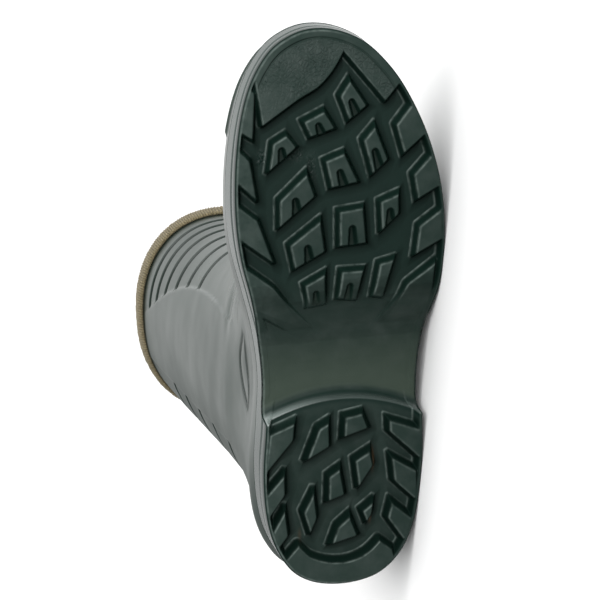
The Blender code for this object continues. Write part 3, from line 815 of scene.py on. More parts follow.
# Tread
def keep_inside(point, inset):
    """Pull a tread corner in so that it stays within the sole outline."""
    x, y = point
    turn = turn_of(min(max(x, 0.0), LENGTH))
    wide = float(outline_half(turn, 1 if y > 0 else 2)) - inset
    return x, max(-wide, min(wide, y))


def lug_corners(row):
    """Corners of a lug's top in plan, counterclockwise."""
    along, across, length, front, rear, lean, front_run, rear_run = row[1:]
    fx, fy = along + length / 2, across + lean / 2
    rx, ry = along - length / 2, across - lean / 2
    corners = (
        (fx - front_run / 2, fy - front / 2),
        (fx + front_run / 2, fy + front / 2),
        (rx + rear_run / 2, ry + rear / 2),
        (rx - rear_run / 2, ry - rear / 2),
    )
    pts = np.array([keep_inside(corner, EDGE_INSET) for corner in corners])
    area = np.sum(pts[:, 0] * np.roll(pts[:, 1], -1) - np.roll(pts[:, 0], -1) * pts[:, 1])
    return pts[::-1] if area < 0 else pts


def smooth_edge(rows):
    """Curve in plan through table rows of along and across, in rising order across."""
    across = np.linspace(rows[0][1], rows[-1][1], PLATE_POINTS)
    along = smooth(column_of(rows, 1), column_of(rows, 0), across)
    return list(zip(along, across))


def toe_plate():
    """Outline of the toe plate: its rear edge, then the sole's own edge round the toe."""
    side = loop_turns(SOLE_STEPS)[1]
    x, y = outline_loop(SOLE_STEPS, EDGE_INSET)
    ahead = (side > 0) & (x > TOE_PLATE_LATERAL) | (side < 0) & (x > TOE_PLATE_MEDIAL)
    return smooth_edge(TOE_PLATE[:0:-1]) + [TOE_PLATE[0]] + list(zip(x[ahead], y[ahead]))


def heel_pad():
    """Outline of the heel pad: its front edge, then the sole's own edge round the heel."""
    x, y = outline_loop(SOLE_STEPS, EDGE_INSET)
    arc = [(a, b) for a, b in zip(x, y) if a < HEEL_PAD_END]
    arc.sort(key=lambda point: point[1], reverse=True)
    return [HEEL_PAD[0]] + smooth_edge(HEEL_PAD[1:-1]) + [HEEL_PAD[-1]] + arc


def polygon_distance(px, py, corners):
    """Signed distance to a polygon in plan, negative inside."""
    pts = np.asarray(corners, float)
    best = np.full(px.shape, 1e9)
    inside = np.zeros(px.shape, bool)
    for i in range(len(pts)):
        ax, ay = pts[i - 1]
        bx, by = pts[i]
        ex, ey = bx - ax, by - ay
        t = np.clip(((px - ax) * ex + (py - ay) * ey) / (ex * ex + ey * ey), 0.0, 1.0)
        best = np.minimum(best, np.hypot(px - ax - t * ex, py - ay - t * ey))
        crosses = (ay > py) != (by > py)
        at = ax + (py - ay) * ex / (ey if abs(ey) > 1e-9 else 1e-9)
        inside ^= crosses & (px < at)
    return np.where(inside, -best, best)


def edge_distance(px, py):
    """Distance inward from the sole outline."""
    ox, oy = outline_loop(EDGE_STEPS, 0.0)
    flat_x, flat_y = px.ravel(), py.ravel()
    out = np.empty(flat_x.shape)
    for start in range(0, len(flat_x), EDGE_BATCH):
        part = slice(start, start + EDGE_BATCH)
        gap = np.hypot(flat_x[part, None] - ox[None], flat_y[part, None] - oy[None])
        out[part] = gap.min(axis=1)
    return out.reshape(px.shape)


def lug_distance(px, py, corners):
    """Distance out from a lug's top, corners kept but acute tips cut short, negative inside."""
    gap = np.full(px.shape, -1e3)
    for a, b in zip(corners, np.roll(corners, -1, 0)):
        ex, ey = (b - a) / np.linalg.norm(b - a)
        gap = smax(gap, (px - a[0]) * ey - (py - a[1]) * ex, CORNER)
    return np.maximum(gap, TIP_CUT * polygon_distance(px, py, corners))


def breast_line(y):
    return BREAST_X - BREAST_BOW * np.minimum(np.abs(y) / BREAST_HALF, BREAST_LIMIT)**2


def arch(x, y, start, profile):
    """Height under the arch ahead of the breast: cove, then a profile along the sole."""
    cove = np.interp(x - breast_line(y) - start, column_of(BREAST, 0), column_of(BREAST, 1))
    along = np.interp(x, column_of(profile, 0), column_of(profile, 1))
    return smin(cove, along, COVE_ROUND)


def slit_depth(x, y, row):
    """Slot in a lug with a round head, open at the lug's rear edge and wider there."""
    rear = (row[1] - row[3] / 2 - SLIT_OVERRUN, row[2] - row[6] / 2)
    head = (row[1] - SLIT_HEAD_BACK, row[2])
    ex, ey = rear[0] - head[0], rear[1] - head[1]
    t = np.clip(((x - head[0]) * ex + (y - head[1]) * ey) / (ex * ex + ey * ey), 0.0, 1.0)
    away = np.hypot(x - head[0] - t * ex, y - head[1] - t * ey)
    return np.clip((SLIT_HEAD + (SLIT_REAR - SLIT_HEAD) * t - away) * SLIT_SLOPE, 0.0, SLIT_DEPTH)


def tread_relief(x, y):
    """Height of the tread over the ground plane before toe spring, and the fields its looks follow."""
    inward = edge_distance(x, y)
    behind = x - breast_line(y)
    plate = polygon_distance(x, y, toe_plate())
    gap = smin(inward - (RIM + SIDE_WALL[0][1]), plate, CORNER)
    gap = smin(gap, polygon_distance(x, y, heel_pad()), CORNER)
    slot = np.zeros(x.shape)
    for row in LUGS:
        near = (np.abs(x - row[1]) < LUG_WINDOW[0]) & (np.abs(y - row[2]) < LUG_WINDOW[1])
        gap[near] = smin(gap[near], lug_distance(x[near], y[near], lug_corners(row)), CORNER)
        if row[0][0] in SLIT_ROWS and row[0] != PLAIN_LUG:
            slot[near] = np.maximum(slot[near], slit_depth(x[near], y[near], row))
    floor = np.where(behind < 0.0, FLOOR_HEEL, np.maximum(arch(x, y, 0.0, SHANK), FLOOR_FORE))
    rise = np.where(behind < RAMP_BACK, 0.0, arch(x, y, RAMP_BACK, RAMP))
    walls = smax(WALL_SLOPE * gap, np.zeros_like(gap), TOP_ROUND)
    z = smin(floor, walls, BASE_ROUND)
    z = np.where(gap < SLIT_MARGIN, np.maximum(z, np.minimum(slot, floor)), z)
    z = smax(z, rise, RAMP_ROUND + BREAST_ROUND * bell(behind, 0.0, BREAST_REACH))
    z = z + BORDER_DEPTH * bell(inward, BORDER_INSET, BORDER_HALF) * (plate < 0.0)
    bead = ramp(*BEAD_START, behind) * (1.0 - ramp(*BEAD_END, x))
    z = z - BEAD_HEIGHT * bead * (1.0 - ramp(BEAD_INSET - BEAD_SOFT, BEAD_INSET + BEAD_SOFT, inward))
    z = z + EDGE_ROUND * np.clip(1.0 - (inward - TREAD_EDGE) / EDGE_WIDTH, 0.0, 1.0)**2
    fields = {'inward': inward, 'behind': behind, 'gap': gap, 'plate': plate, 'slot': slot}
    fields['foot'] = gap - floor / WALL_SLOPE
    return z, fields


def slopes(x, y, value):
    """Slope of a value along and across the sole on the tread's grid."""
    width = np.gradient(y, axis=1)
    across = np.gradient(value, axis=1) / np.where(np.abs(width) < 0.0001, 1.0, width)
    along = (np.gradient(value, axis=0) - across * np.gradient(y, axis=0)) / np.gradient(x, axis=0)
    return along, across


def flank_masks(x, y, z, fields, outward, shank):
    """Masks of the lugs' flanks, painted darker as shade, and of the painted shade on flanks and in
    corners turned from the light.
    """
    foot, behind = fields['foot'], fields['behind']
    along, across = slopes(x, y, z)
    steep = np.hypot(along, across)
    facing = (WORN_SIDE[0] * along + WORN_SIDE[1] * across) / (FACING_SOFT + steep)
    inner = ramp(*INNER_START, fields['inward']) * (1.0 - shank)
    inner = inner * (1.0 - np.exp(-(behind / BREAST_CLEAR)**4))
    shaded_flank = np.clip(steep / FLANK_STEEP, 0.0, 1.0) * inner
    shaded_flank = shaded_flank * (FLANK_FOOT + (1.0 - FLANK_FOOT) * np.clip(-foot, 0.0, 1.0))
    turned = np.clip(SHADED_CORNER[0] + SHADED_CORNER[1] * outward, 0.0, 1.0)
    corner = np.exp(-np.maximum(foot, 0.0) / CORNER_REACH) * turned * (foot > CORNER_START)
    shade = np.maximum(np.clip(-FACING_SHADE * facing, 0.0, 1.0), CORNER_SHADE * corner) * inner
    heel = 1.0 - ramp(*HEEL_END, behind)
    return shaded_flank, np.maximum(shade, HEEL_FLANK_SHADE * shaded_flank * heel)


def lit_and_worn_lines(y, fields, outward, shank, flat, slit_shade):
    """Mask of edges with wear and painted highlights: lug tops and feet and the sole's rim, and painted
    light on the lug tops along the inner side.
    """
    inward = fields['inward']
    # Painted highlights, stronger on edges turned toward the light
    lit_and_worn = np.clip(LIT_AND_WORN_EDGE[0] + LIT_AND_WORN_EDGE[1] * outward, 0.0, 1.0)
    edge_highlights = bell(fields['gap'], *TOP_LINE) * (1.0 - slit_shade) + bell(fields['foot'], *FOOT_LINE)
    edge_highlights = edge_highlights * lit_and_worn * (1.0 - shank) * (inward > LINE_INSET)
    rim = RIM_HIGHLIGHT * bell(inward, *RIM_LINE) * (1.0 - ramp(*RIM_FADE, y))
    # Painted light on the lug tops along the inner side
    dust = INNER_TOP_LIGHT * flat * (1.0 - ramp(*INNER_TOP_LIGHT_FADE, y)) * (1.0 - slit_shade)
    return np.clip(np.maximum(np.maximum(edge_highlights, rim), dust), 0.0, 1.0)


def grain_mask(x, y, fields):
    """Mask of the grained toe plate and of rough spots on the forefoot floor."""
    grain = np.clip(-fields['plate'] / GRAIN_EDGE, 0.0, 1.0)
    grain = grain * np.clip((fields['inward'] - BORDER_INSET) / GRAIN_BORDER, 0.0, 1.0)
    for along, across, long, wide in SCUFFS:
        spot = np.exp(-((x - along) / long)**4 - ((y - across) / wide)**4)
        grain = np.maximum(grain, spot * (fields['foot'] > 0.0))
    return grain


def tread_masks(x, y, z, fields):
    """Masks a vertex: lug tops, grain, dirt and painted shade, then edges with wear and painted
    highlights, flanks and slits painted as shade, and the cove's gloss and painted highlight.
    """
    gap, behind = fields['gap'], fields['behind']
    shank = ramp(*SHANK_START, behind) * (1.0 - ramp(*SHANK_END, x))
    pale = ramp(*PALE_START, behind) * (1.0 - ramp(*PALE_END, x))
    away, over = slopes(x, y, gap)
    outward = np.clip(WORN_SIDE[0] * away + WORN_SIDE[1] * over, -1.0, 1.0)
    shaded_flank, shade = flank_masks(x, y, z, fields, outward, shank)
    flat = np.clip(0.5 - gap / TOP_SOFT, 0.0, 1.0)
    # Slits are painted darker, as shade in the slots
    slit_shade = np.clip(fields['slot'] / SLIT_DARK, 0.0, 1.0) * (gap < SLIT_DARK_MARGIN)
    top = np.maximum(flat, HEEL_TOP * (1.0 - ramp(*HEEL_END, behind))) * (1.0 - slit_shade)
    top = np.maximum(LUG_SHARE * top, pale)
    # The cove gets gloss and a painted highlight along the heel breast, fullest toward the inner side
    cove = ramp(*COVE_START, behind) * (1.0 - ramp(*COVE_END, behind)) * (1.0 - ramp(*COVE_RISE, z))
    cove = cove * (1.0 - (1.0 - COVE_HIGHLIGHT_LEAST) * ramp(*COVE_HIGHLIGHT_FADE, y))
    dirt = SHANK_DUST * pale
    for along, across, long, wide, strength in DIRT:
        dirt += strength * np.exp(-((x - along) / long)**2 - ((y - across) / wide)**2)
    edge_highlights = lit_and_worn_lines(y, fields, outward, shank, flat, slit_shade)
    masks = np.stack((top, grain_mask(x, y, fields), np.clip(dirt, 0.0, 1.0), shade), -1)
    marks = np.stack((edge_highlights, shaded_flank, cove, slit_shade), -1)
    return masks, marks


def inset_sides(x, inset):
    """Lateral and medial edge of the sole outline at stations along it, moved in by inset."""
    ox, oy = outline_loop(SIDE_STEPS, inset)
    lateral = np.arange(SIDE_STEPS + 1)
    medial = np.append(np.arange(SIDE_STEPS, 2 * SIDE_STEPS), 0)
    sides = []
    for part in (lateral, medial):
        order = part[np.argsort(ox[part])]
        sides.append(np.interp(x, ox[order], oy[order]))
    return sides


def make_tread(name, start, end, rows, material):
    """Part of the tread between two stations along the sole, its rows closer at heel and toe."""
    even = np.linspace(0.0, 1.0, rows)
    if start <= TREAD_EDGE:
        even = even + END_CROWDING * np.sin(math.pi * even) * (even - 1.0)
    if end >= LENGTH - TREAD_EDGE:
        even = even + END_CROWDING * np.sin(math.pi * even) * even
    along = start + (end - start) * even
    high, low = inset_sides(along, TREAD_EDGE)
    v = np.linspace(0.0, 1.0, TREAD_COLUMNS)[None, :]
    x = np.repeat(along[:, None], TREAD_COLUMNS, 1)
    y = low[:, None] + (high - low)[:, None] * v
    z, fields = tread_relief(x, y)
    points = np.stack((x, y, z + toe_lift(x)), -1)
    masks, marks = tread_masks(x, y, z, fields)
    faces = grid_faces(rows, TREAD_COLUMNS, False)
    return new_piece(name, points, faces, 'outsole', material, masks, marks)


def make_sole_wall(material):
    """Side of the sole from the tread's edge to the feather line, with its bead line, and the ledge."""
    plain_x = outline_loop(WALL_STEPS, 0.0)[0]
    x, y = outline_loop(WALL_STEPS, TREAD_EDGE)
    edge = tread_relief(x, y)[0]
    rings = [np.stack((x, y, edge + toe_lift(x)), -1)]
    shares = np.linspace(WALL_START, 1.0, WALL_ROWS)
    plain_rows = SIDE_WALL[:3] + SIDE_WALL[5:]
    plain = np.interp(shares, column_of(plain_rows, 0), column_of(plain_rows, 1))
    cut = np.interp(shares, column_of(SIDE_WALL, 0), column_of(SIDE_WALL, 1))
    present = ramp(*WALL_LINE_FADE, plain_x)
    line_share = WALL_LINE_LEAST + (1.0 - WALL_LINE_LEAST) * present
    for share, plain_inset, cut_inset in zip(shares, plain, cut):
        x, y = outline_loop(WALL_STEPS, plain_inset + (cut_inset - plain_inset) * line_share)
        z = np.maximum(share * side_top(plain_x), edge)
        rings.append(np.stack((x, y, z + toe_lift(x)), -1))
    x, y = outline_loop(WALL_STEPS, LEDGE_INSET)
    rings.append(np.stack((x, y, side_top(plain_x) + toe_lift(x)), -1))
    faces = grid_faces(len(rings), 2 * WALL_STEPS, True)[:, ::-1]
    heights = np.concatenate([[0.0], shares, [1.0]])[:, None]
    # The bead line is painted in the flanks' dark colour and in shade, as painted shade
    groove = bell(heights, *WALL_LINE) * present
    # The side's gloss comes with a highlight painted in the cove's pale colour
    gloss_and_highlight = WALL_GLOSS_AND_HIGHLIGHT * (WALL_GLOSS_AND_HIGHLIGHT_HEEL + (1.0 - WALL_GLOSS_AND_HIGHLIGHT_HEEL) * present)
    masks = np.zeros(groove.shape + (4,))
    masks[:, :, 3] = WALL_LINE_SHADE * groove
    marks = np.zeros(groove.shape + (4,))
    marks[:, :, 1] = groove
    marks[:, :, 2] = gloss_and_highlight * ramp(*WALL_GLOSS_AND_HIGHLIGHT_FADE, heights) * (1.0 - groove)
    return new_piece('outsole_wall', rings, faces, 'outsole', material, masks, marks)


# Upper and lining
def crease_depth(x, z):
    """Troughs with a soft ridge on either side."""
    depth = np.zeros_like(x)
    for along, height, rise, deep, half, reach in CREASES:
        across = ((z - height - rise * (x - along)) / half)**2
        depth += deep * (1.0 - across) * np.exp(-across - ((x - along) / reach)**4)
    return depth


def fine_levels():
    """Fold numbers of the fine rows, closer together at the grooves and steps."""
    levels = list(np.linspace(0.0, TOP_FOLD, BETWEEN_ROWS))
    for line, column in groove_lines():
        levels += list(line + np.array(GROOVE_ROWS) / fold_rise(line, column))
    levels += list(np.arange(*LENS_LEVELS))
    levels += list(RAND_LEVEL + np.linspace(-RAND_ROWS_REACH, RAND_ROWS_REACH, STEP_ROWS))
    levels += list(TOE_CAP_LEVEL + np.linspace(-CAP_ROWS_REACH, CAP_ROWS_REACH, STEP_ROWS))
    levels = np.unique(np.round(np.clip(levels, 0.0, TOP_FOLD), 4))
    keep = np.concatenate([[True], np.diff(levels) > LEAST_ROW_GAP])
    return levels[keep]


def edge_away(x, z, column):
    """Signed distance above an edge of the crescent, square to the edge."""
    stations, heights = column_of(LENS, 0), column_of(LENS, column)
    slope = smooth(stations, heights, x + 0.5) - smooth(stations, heights, x - 0.5)
    return (z - smooth(stations, heights, x)) / np.hypot(1.0, slope)


def crescent(x, y, z):
    """Inward step of the crescent, a raised form under a trough, and its outline."""
    within = ramp(*LENS_REAR, x) * (1.0 - ramp(*LENS_FRONT, x))
    above_low = edge_away(x, z, 1)
    above_high = edge_away(x, z, 2)
    raised = ramp(*LENS_LIP, above_low) * ramp(0.0, LENS_TAPER, -above_high)
    step = LENS_TROUGH * bell(above_high, 0.0, LENS_TROUGH_HALF) - LENS_RISE * raised
    nearest = np.minimum(np.abs(above_low), np.abs(above_high - LENS_LINE_ABOVE))
    return step * within, bell(nearest, 0.0, LENS_LINE) * within * (y < 0.0)


def groove_share(level, x, edge):
    """Share of the grooves' depth: front ones ahead of the panel's edge, rear ones behind it."""
    reach = {1: ramp(0.0, GROOVE_END_SOFT, x - edge), 3: ramp(0.0, GROOVE_END_SOFT, BACK_GROOVE_END - x)}
    groove = np.zeros_like(x)
    for line, column in groove_lines():
        away = np.abs(level - line) * fold_rise(line, column)
        cut = 1.0 - ramp(GROOVE_HALF - GROOVE_SOFT, GROOVE_HALF + GROOVE_SOFT, away)
        groove = np.maximum(groove, reach[column] * cut)
    return groove


def fine_step(level, x, y, z):
    """Inward step of the wall with rounded edges, and masks of toe cap, painted shade in grooves, on the
    crescent's outline and under the cuff, and the panel edge's painted highlight.
    """
    body = ramp(RAND_LEVEL - RAND_SOFT, RAND_LEVEL + RAND_SOFT, level)
    below = (TOE_CAP_LEVEL - level) * CAP_FOLD
    cap = ramp(-CAP_SOFT, CAP_SOFT, smin(x - TOE_CAP_X, below, CAP_ROUND))
    edge = smooth(column_of(PANEL_EDGE, 0), column_of(PANEL_EDGE, 1), z)
    groove = groove_share(level, x, edge)
    panel = (1.0 - ramp(-PANEL_SOFT, PANEL_SOFT, x - edge)) * (1.0 - ramp(*PANEL_TOP, z))
    panel = panel * ramp(-PANEL_SOFT, PANEL_SOFT, x - BACK_GROOVE_END) * ramp(*PANEL_FOOT, z)
    # Painted highlight along the panel's edge
    panel_highlight = bell(x - edge, *PANEL_HIGHLIGHT_LINE) * ramp(*PANEL_HIGHLIGHT_FOOT, z) * (1.0 - ramp(*PANEL_TOP, z))
    lens, outline = crescent(x, y, z)
    step = BODY_STEP * body * (1.0 - cap) - CAP_RISE * cap * body + GROOVE_DEPTH * groove
    step = step - PANEL_RISE * panel + lens + crease_depth(x, z)
    under_cuff = ramp(*UNDER_CUFF, (level - TOP_FOLD) * COLLAR_RISE)
    # Grooves, the crescent's outline and the band under the cuff are painted in shade
    dark = np.maximum(np.maximum(groove, LENS_LINE_SHADE * outline), under_cuff)
    return step, cap * body, dark, panel_highlight


def surface_grid(levels, around):
    """Folds, points and outward directions of the plain upper on a grid of folds and turns."""
    turn, side = loop_turns(around)
    level = np.repeat(np.asarray(levels, float)[:, None], len(turn), 1)
    turns = np.repeat(turn[None, :], len(levels), 0)
    sides = np.repeat(side[None, :], len(levels), 0)
    flat = upper_point(level.ravel(), turns.ravel(), sides.ravel())
    points = flat.reshape(level.shape + (3,))
    rise = np.gradient(points, axis=0)
    ahead = np.roll(points, -1, 1) - np.roll(points, 1, 1)
    out = np.cross(rise, ahead)
    out /= np.linalg.norm(out, axis=2)[:, :, None]
    return level, points, out


def make_upper_shell(material):
    """Outer skin of the upper, closed over the wall's thickness at feather line and collar."""
    level, points, out = surface_grid(fine_levels(), AROUND)
    step, cap, groove, panel_highlight = fine_step(level, points[:, :, 0], points[:, :, 1], points[:, :, 2])
    skin = points - out * step[:, :, None]
    skin[0, :, 2] = feather_height(skin[0, :, 0])
    collar = (points[-1] - out[-1] * WALL)[None]
    under = (points[0] - out[0] * WALL)[None]
    under[0, :, 2] = feather_height(under[0, :, 0]) + GAP
    skin = np.concatenate([under, skin, collar])
    # Masks: toe cap, painted shade, the panel edge's painted highlight, and the heel's rear
    masks = np.zeros(skin.shape[:2] + (4,))
    masks[1:-1, :, 0] = cap
    masks[1:-1, :, 1] = groove
    masks[1:-1, :, 2] = panel_highlight
    masks[1:-1, :, 3] = 1.0 - ramp(*REAR_FADE, points[:, :, 0])
    faces = grid_faces(skin.shape[0], skin.shape[1], True)
    return new_piece('upper_shell', skin, faces, 'upper', material, masks)


def make_lining(material):
    points, out = surface_grid(np.linspace(0.0, TOP_FOLD, LINING_ROWS), LINING_AROUND)[1:]
    skin = points - out * WALL
    skin[0, :, 2] = feather_height(skin[0, :, 0]) + GAP
    faces = grid_faces(skin.shape[0], skin.shape[1], True)[:, ::-1]
    return new_piece('lining', skin, faces, 'upper', material)


# Cuff and insole
def eased(values):
    """Values round the cuff's section, with the rows that show smoothed."""
    start, end = EASED_ROWS
    for _ in range(EASED_SWEEPS):
        near = values[start - 1:end - 1] + values[start + 1:end + 1]
        values[start:end] = (near + 2 * values[start:end]) / 4
    return values


def make_fine_cuff(material):
    """Knit band with fine ribs across it and loose yarn."""
    around = 2 * KNIT_RIBS
    turn, side = loop_turns(around)
    rib = np.cos(np.arange(2 * around) * math.pi / 2)
    section = np.array(CUFF + CUFF[:1])
    length = np.concatenate([[0.0], np.cumsum(np.hypot(*np.diff(section, axis=0).T))])
    places = np.linspace(0.0, length[-1], CUFF_ROWS + 1)[:-1]
    outs = eased(np.interp(places, length, section[:, 0]))
    ups = eased(np.interp(places, length, section[:, 1]))
    rng = np.random.default_rng(KNIT_SEED)
    rough = rng.normal(0.0, 1.0, (CUFF_ROWS, 2 * around))
    rough = (rough + np.roll(rough, 1, 1) + np.roll(rough, 1, 0) + np.roll(rough, -1, 0)) / 2.0
    rings = []
    valley_shades = []
    for i, (out, up) in enumerate(zip(outs, ups)):
        level = np.full(len(turn), TOP_FOLD + min(up, 0.0) / COLLAR_RISE)
        ring = upper_point(level, turn, side)
        ribbed = i < RIBBED_ROWS
        loose = LOOSE_ROWS[0] < i < LOOSE_ROWS[1]
        yarn = KNIT_RIB_HEIGHT * (rib - 1.0) * ribbed + KNIT_FUZZ * rough[i] * loose
        # Mask of the painted shade between the ribs
        valley_shades.append(0.5 - 0.5 * rib * ribbed)
        ring = ring + upper_normal(level, turn, side) * (out - BODY_STEP * (out > 0) + yarn)[:, None]
        ring[:, 2] += max(up, 0.0)
        rings.append(ring)
    masks = np.repeat(np.concatenate(valley_shades + valley_shades[:1])[:, None], 4, 1)
    faces = grid_faces(CUFF_ROWS + 1, 2 * around, True)
    return new_piece('knit_cuff', rings + rings[:1], faces, 'collar_cuff', material, masks)


def make_fine_insole(material):
    """Flat sole with a rounded edge and a top of strips from side to side."""
    rings = []
    for inset, lift in INSOLE_EDGE:
        x, y = outline_loop(INSOLE_STEPS, INSOLE_INSET + inset)
        rings.append(np.stack((x, y, bed_top(x) + toe_lift(x) + GAP + lift), -1))
    count = 2 * INSOLE_STEPS
    first = (len(rings) - 1) * count
    toe = first + INSOLE_STEPS
    end = first + count
    strips = [(first + k, first + k + 1, end - k - 1, end - k) for k in range(1, INSOLE_STEPS - 1)]
    tips = [(first, first + 1, end - 1, end - 1), (toe - 1, toe, toe + 1, toe + 1)]
    faces = [tuple(face) for face in grid_faces(len(rings), count, True)] + strips + tips
    return new_piece('insole_felt', rings, faces, 'insole', material)


# Materials
def put(node, inputs):
    """Set or link a node's inputs, by name or by number."""
    for key, value in inputs.items():
        if isinstance(value, bpy.types.NodeSocket):
            node.id_data.links.new(value, node.inputs[key])
        else:
            node.inputs[key].default_value = value


def add(tree, kind, output, inputs, **settings):
    """An output of a new node with its settings and inputs."""
    node = tree.nodes.new(kind)
    for key, value in settings.items():
        setattr(node, key, value)
    put(node, inputs)
    return node.outputs[output]


def shader_of(name, colour, roughness):
    """A Principled material and its shader."""
    material = bpy.data.materials.new(name)
    material.use_nodes = True
    shader = material.node_tree.nodes['Principled BSDF']
    put(shader, {'Base Color': (*colour, 1.0), 'Roughness': roughness})
    return material, shader


def noise(tree, scale, detail, output='Fac'):
    place = add(tree, 'ShaderNodeTexCoord', 'Object', {})
    return add(tree, 'ShaderNodeTexNoise', output, {'Vector': place, 'Scale': scale, 'Detail': detail})


def bump(tree, height, strength, distance, before=None):
    inputs = {'Strength': strength, 'Distance': distance, 'Height': height}
    if before is not None:
        inputs['Normal'] = before
    return add(tree, 'ShaderNodeBump', 'Normal', inputs)


def mask_channels(tree, name='masks'):
    """Red, green, blue and alpha of a colour attribute as sockets."""
    source = tree.nodes.new('ShaderNodeAttribute')
    source.attribute_name = name
    split = tree.nodes.new('ShaderNodeSeparateColor')
    put(split, {'Color': source.outputs['Color']})
    return (*split.outputs[:3], source.outputs['Alpha'])


def mixed(tree, factor, a, b):
    a, b = [(*value, 1.0) if isinstance(value, tuple) else value for value in (a, b)]
    return add(tree, 'ShaderNodeMix', 2, {0: factor, 6: a, 7: b}, data_type='RGBA')


def ranged(tree, value, *ends):
    """Value carried from one range to another: lowest and highest in, lowest and highest out."""
    names = ('Value', 'From Min', 'From Max', 'To Min', 'To Max')
    return add(tree, 'ShaderNodeMapRange', 'Result', dict(zip(names, (value, *ends))))


def scaled(tree, mask, none, full):
    """One number where a mask is 0 and another where it is 1."""
    return ranged(tree, mask, 0.0, 1.0, none, full)


def product(tree, first, *others):
    for other in others:
        first = add(tree, 'ShaderNodeMath', 0, {0: first, 1: other}, operation='MULTIPLY')
    return first


def hide(tree):
    """Height of a leather grain: cells with a wavering edge, stronger in patches."""
    place = add(tree, 'ShaderNodeTexCoord', 'Object', {})
    bend = {0: noise(tree, *HIDE_WARP, 'Color'), 1: (HIDE_BEND, HIDE_BEND, HIDE_BEND), 2: place}
    bent = add(tree, 'ShaderNodeVectorMath', 'Vector', bend, operation='MULTIPLY_ADD')
    cells = {'Vector': bent, 'Scale': HIDE_SCALE}
    edges = add(tree, 'ShaderNodeTexVoronoi', 'Distance', cells, feature='DISTANCE_TO_EDGE')
    patches = ranged(tree, noise(tree, *HIDE_PATCHES), *PATCH_RANGE)
    return product(tree, patches, ranged(tree, edges, *HIDE_RANGE))


def sole_material():
    """Dark green rubber: duller lug tops; flanks, slits and corners in painted shade; polished edges and
    cove with wear and painted highlights; grained toe plate.
    """
    material, shader = shader_of('sole_rubber', SOLE_FLOOR, SOLE_ROUGH)
    tree = material.node_tree
    tone, grain, dirt, shade = mask_channels(tree)
    edge_highlights, shaded_flank, cove, slit_shade = mask_channels(tree, 'marks')
    top = ranged(tree, tone, 0.0, LUG_SHARE, 0.0, 1.0)
    shank = ranged(tree, tone, LUG_SHARE, 1.0, 0.0, 1.0)
    dust = product(tree, top, ranged(tree, noise(tree, *DUST_NOISE), *DUST_RANGE))
    lit_and_worn = product(tree, edge_highlights, ranged(tree, noise(tree, *WEAR_NOISE), *WEAR_RANGE))
    # Slits, flanks and shade are painted shade; edges with wear and the cove carry painted highlights
    masks = (top, dust, shank, slit_shade, shaded_flank, shade, lit_and_worn, dirt, cove)
    colour = SOLE_FLOOR
    for mask, paint in zip(masks, SOLE_PAINTS):
        colour = mixed(tree, mask, colour, paint)
    rough = product(tree, scaled(tree, top, *TOP_ROUGH), scaled(tree, cove, 1.0, COVE_ROUGH))
    gloss = scaled(tree, cove, SOLE_GLOSS, COVE_GLOSS)
    for mask, full in ((shade, SHADE_GLOSS), (shaded_flank, FLANK_GLOSS), (grain, GRAIN_GLOSS)):
        gloss = product(tree, gloss, scaled(tree, mask, 1.0, full))
    pores = bump(tree, noise(tree, *SOLE_PORES), *SOLE_PORE_BUMP)
    leather = bump(tree, product(tree, grain, hide(tree)), *HIDE_BUMP, pores)
    put(shader, {'Specular IOR Level': SOLE_GLOSS})
    put(shader, {'Base Color': colour, 'Roughness': rough, 'Specular IOR Level': gloss, 'Normal': leather})
    return material


def upper_material():
    """Dark green rubber with a soft gloss that pales at a glancing angle, a matt toe cap, painted shade in
    the grooves and under the cuff, and a painted highlight on the panel's edge.
    """
    material, shader = shader_of('upper_rubber', UPPER_COLOUR, UPPER_ROUGH)
    tree = material.node_tree
    cap, groove, panel_highlight, rear = mask_channels(tree)
    cloud = noise(tree, *UPPER_CLOUD)
    colour = mixed(tree, ranged(tree, cloud, *CLOUD_RANGE), UPPER_COLOUR, UPPER_SHADE)
    # Painted highlight on the panel's edge, then painted shade in grooves, on the crescent's outline and
    # under the cuff
    colour = mixed(tree, panel_highlight, colour, UPPER_EDGE_HIGHLIGHT)
    colour = mixed(tree, groove, colour, GROOVE_SHADE_COLOUR)
    rough = product(tree, ranged(tree, cloud, *CLOUD_ROUGH), scaled(tree, rear, 1.0, REAR_ROUGH))
    gloss = scaled(tree, groove, UPPER_GLOSS, GROOVE_GLOSS)
    gloss = product(tree, gloss, scaled(tree, cap, 1.0, CAP_GLOSS), scaled(tree, rear, 1.0, REAR_GLOSS))
    waves = bump(tree, noise(tree, *UPPER_WAVES), *UPPER_WAVE_BUMP)
    pores = bump(tree, noise(tree, *UPPER_PORES), *UPPER_PORE_BUMP, waves)
    put(shader, {'Specular IOR Level': UPPER_GLOSS})
    put(shader, {'Base Color': colour, 'Roughness': rough, 'Specular IOR Level': gloss, 'Normal': pores})
    put(shader, {'Coat Weight': UPPER_COAT, 'Coat Roughness': UPPER_COAT_ROUGH})
    return material


def knit_material(name, light, dark, scale, ribbed=False):
    """Soft textile in two tones, with painted shade between the ribs where it is ribbed."""
    material, shader = shader_of(name, light, KNIT_ROUGH)
    tree = material.node_tree
    fuzz = noise(tree, scale, KNIT_DETAIL)
    colour = mixed(tree, ranged(tree, fuzz, *KNIT_RANGE), dark, light)
    if ribbed:
        valley_shade = mask_channels(tree)[0]
        colour = mixed(tree, ranged(tree, valley_shade, *VALLEY_SHADE_RANGE), colour, KNIT_VALLEY_SHADE)
    put(shader, {'Base Color': colour, 'Normal': bump(tree, fuzz, *KNIT_BUMP)})
    put(shader, {'Sheen Weight': KNIT_SHEEN, 'Sheen Roughness': KNIT_SHEEN_ROUGH})
    put(shader, {'Specular IOR Level': MATT_GLOSS})
    return material


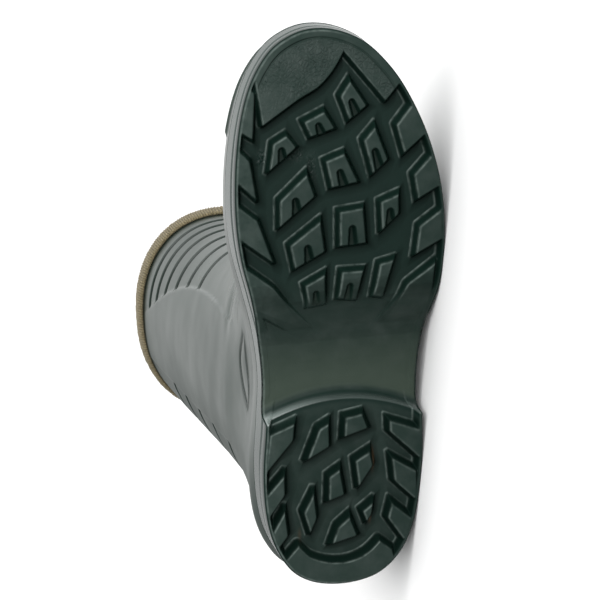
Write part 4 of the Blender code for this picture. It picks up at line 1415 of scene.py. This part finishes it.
def dress():
    sole = sole_material()
    make_tread('outsole_tread_heel', TREAD_EDGE, TREAD_SPLIT, HEEL_ROWS, sole)
    make_tread('outsole_tread_fore', TREAD_SPLIT, LENGTH - TREAD_EDGE, FORE_ROWS, sole)
    make_sole_wall(sole)
    make_upper_shell(upper_material())
    make_lining(knit_material('lining_knit', LINING_LIGHT, LINING_DARK, LINING_SCALE))
    make_fine_cuff(knit_material('cuff_knit', KNIT_LIGHT, KNIT_DARK, CUFF_SCALE, True))
    make_fine_insole(knit_material('insole_felt', FELT_LIGHT, FELT_DARK, FELT_SCALE))


# Floor, light and camera
def make_floor():
    material, shader = shader_of('floor_paper', FLOOR_COLOUR, PAPER_ROUGH)
    put(shader, {'Specular IOR Level': MATT_GLOSS})
    mesh = bpy.data.meshes.new('floor')
    corners = [(x * FLOOR_REACH, y * FLOOR_REACH, 0) for x, y in ((-1, -1), (1, -1), (1, 1), (-1, 1))]
    mesh.from_pydata(corners, [], [(0, 1, 2, 3)])
    floor = bpy.data.objects.new('floor', mesh)
    mesh.materials.append(material)
    bpy.context.scene.collection.objects.link(floor)


def make_lights():
    for name, kind, place, aim, size, power in LIGHTS:
        light = bpy.data.lights.new(name, kind)
        light.energy = power
        if kind == 'SUN':
            light.angle = size
        else:
            light.shape = 'DISK'
            light.size = size
        lamp = bpy.data.objects.new(name, light)
        lamp.location = place
        lamp.rotation_euler = (Vector(aim) - Vector(place)).to_track_quat('-Z', 'Y').to_euler()
        bpy.context.scene.collection.objects.link(lamp)


def make_sky():
    """White world, brighter toward one side and above."""
    world = bpy.data.worlds.new('studio')
    world.use_nodes = True
    tree = world.node_tree
    look = add(tree, 'ShaderNodeTexCoord', 'Generated', {})
    lean = add(tree, 'ShaderNodeVectorMath', 'Value', {0: look, 1: SKY_LEAN}, operation='DOT_PRODUCT')
    level = add(tree, 'ShaderNodeMath', 0, {0: lean, 1: SKY_LEVEL}, operation='ADD')
    held = add(tree, 'ShaderNodeClamp', 'Result', {'Value': level, 'Min': SKY_ENDS[0], 'Max': SKY_ENDS[1]})
    put(tree.nodes['Background'], {'Color': (1.0, 1.0, 1.0, 1.0), 'Strength': held})
    bpy.context.scene.world = world
    bpy.context.scene.view_settings.view_transform = 'Standard'


def make_camera():
    turn = REST.to_3x3()
    ahead = (turn @ (Vector(CAMERA_AIM) - Vector(CAMERA_AT))).normalized()
    right = ahead.cross(turn @ Vector(CAMERA_UP)).normalized()
    up = right.cross(ahead)
    data = bpy.data.cameras.new('camera')
    data.sensor_width = CAMERA_SENSOR
    data.lens = CAMERA_LENS
    data.clip_end = CAMERA_REACH
    eye = bpy.data.objects.new('camera', data)
    axes = Matrix((right, up, -ahead)).transposed().to_4x4()
    eye.matrix_world = Matrix.Translation(REST @ (Vector(CAMERA_AT) * MM)) @ axes
    bpy.context.scene.collection.objects.link(eye)
    bpy.context.scene.camera = eye


dress()
make_floor()
make_lights()
make_sky()
make_camera()
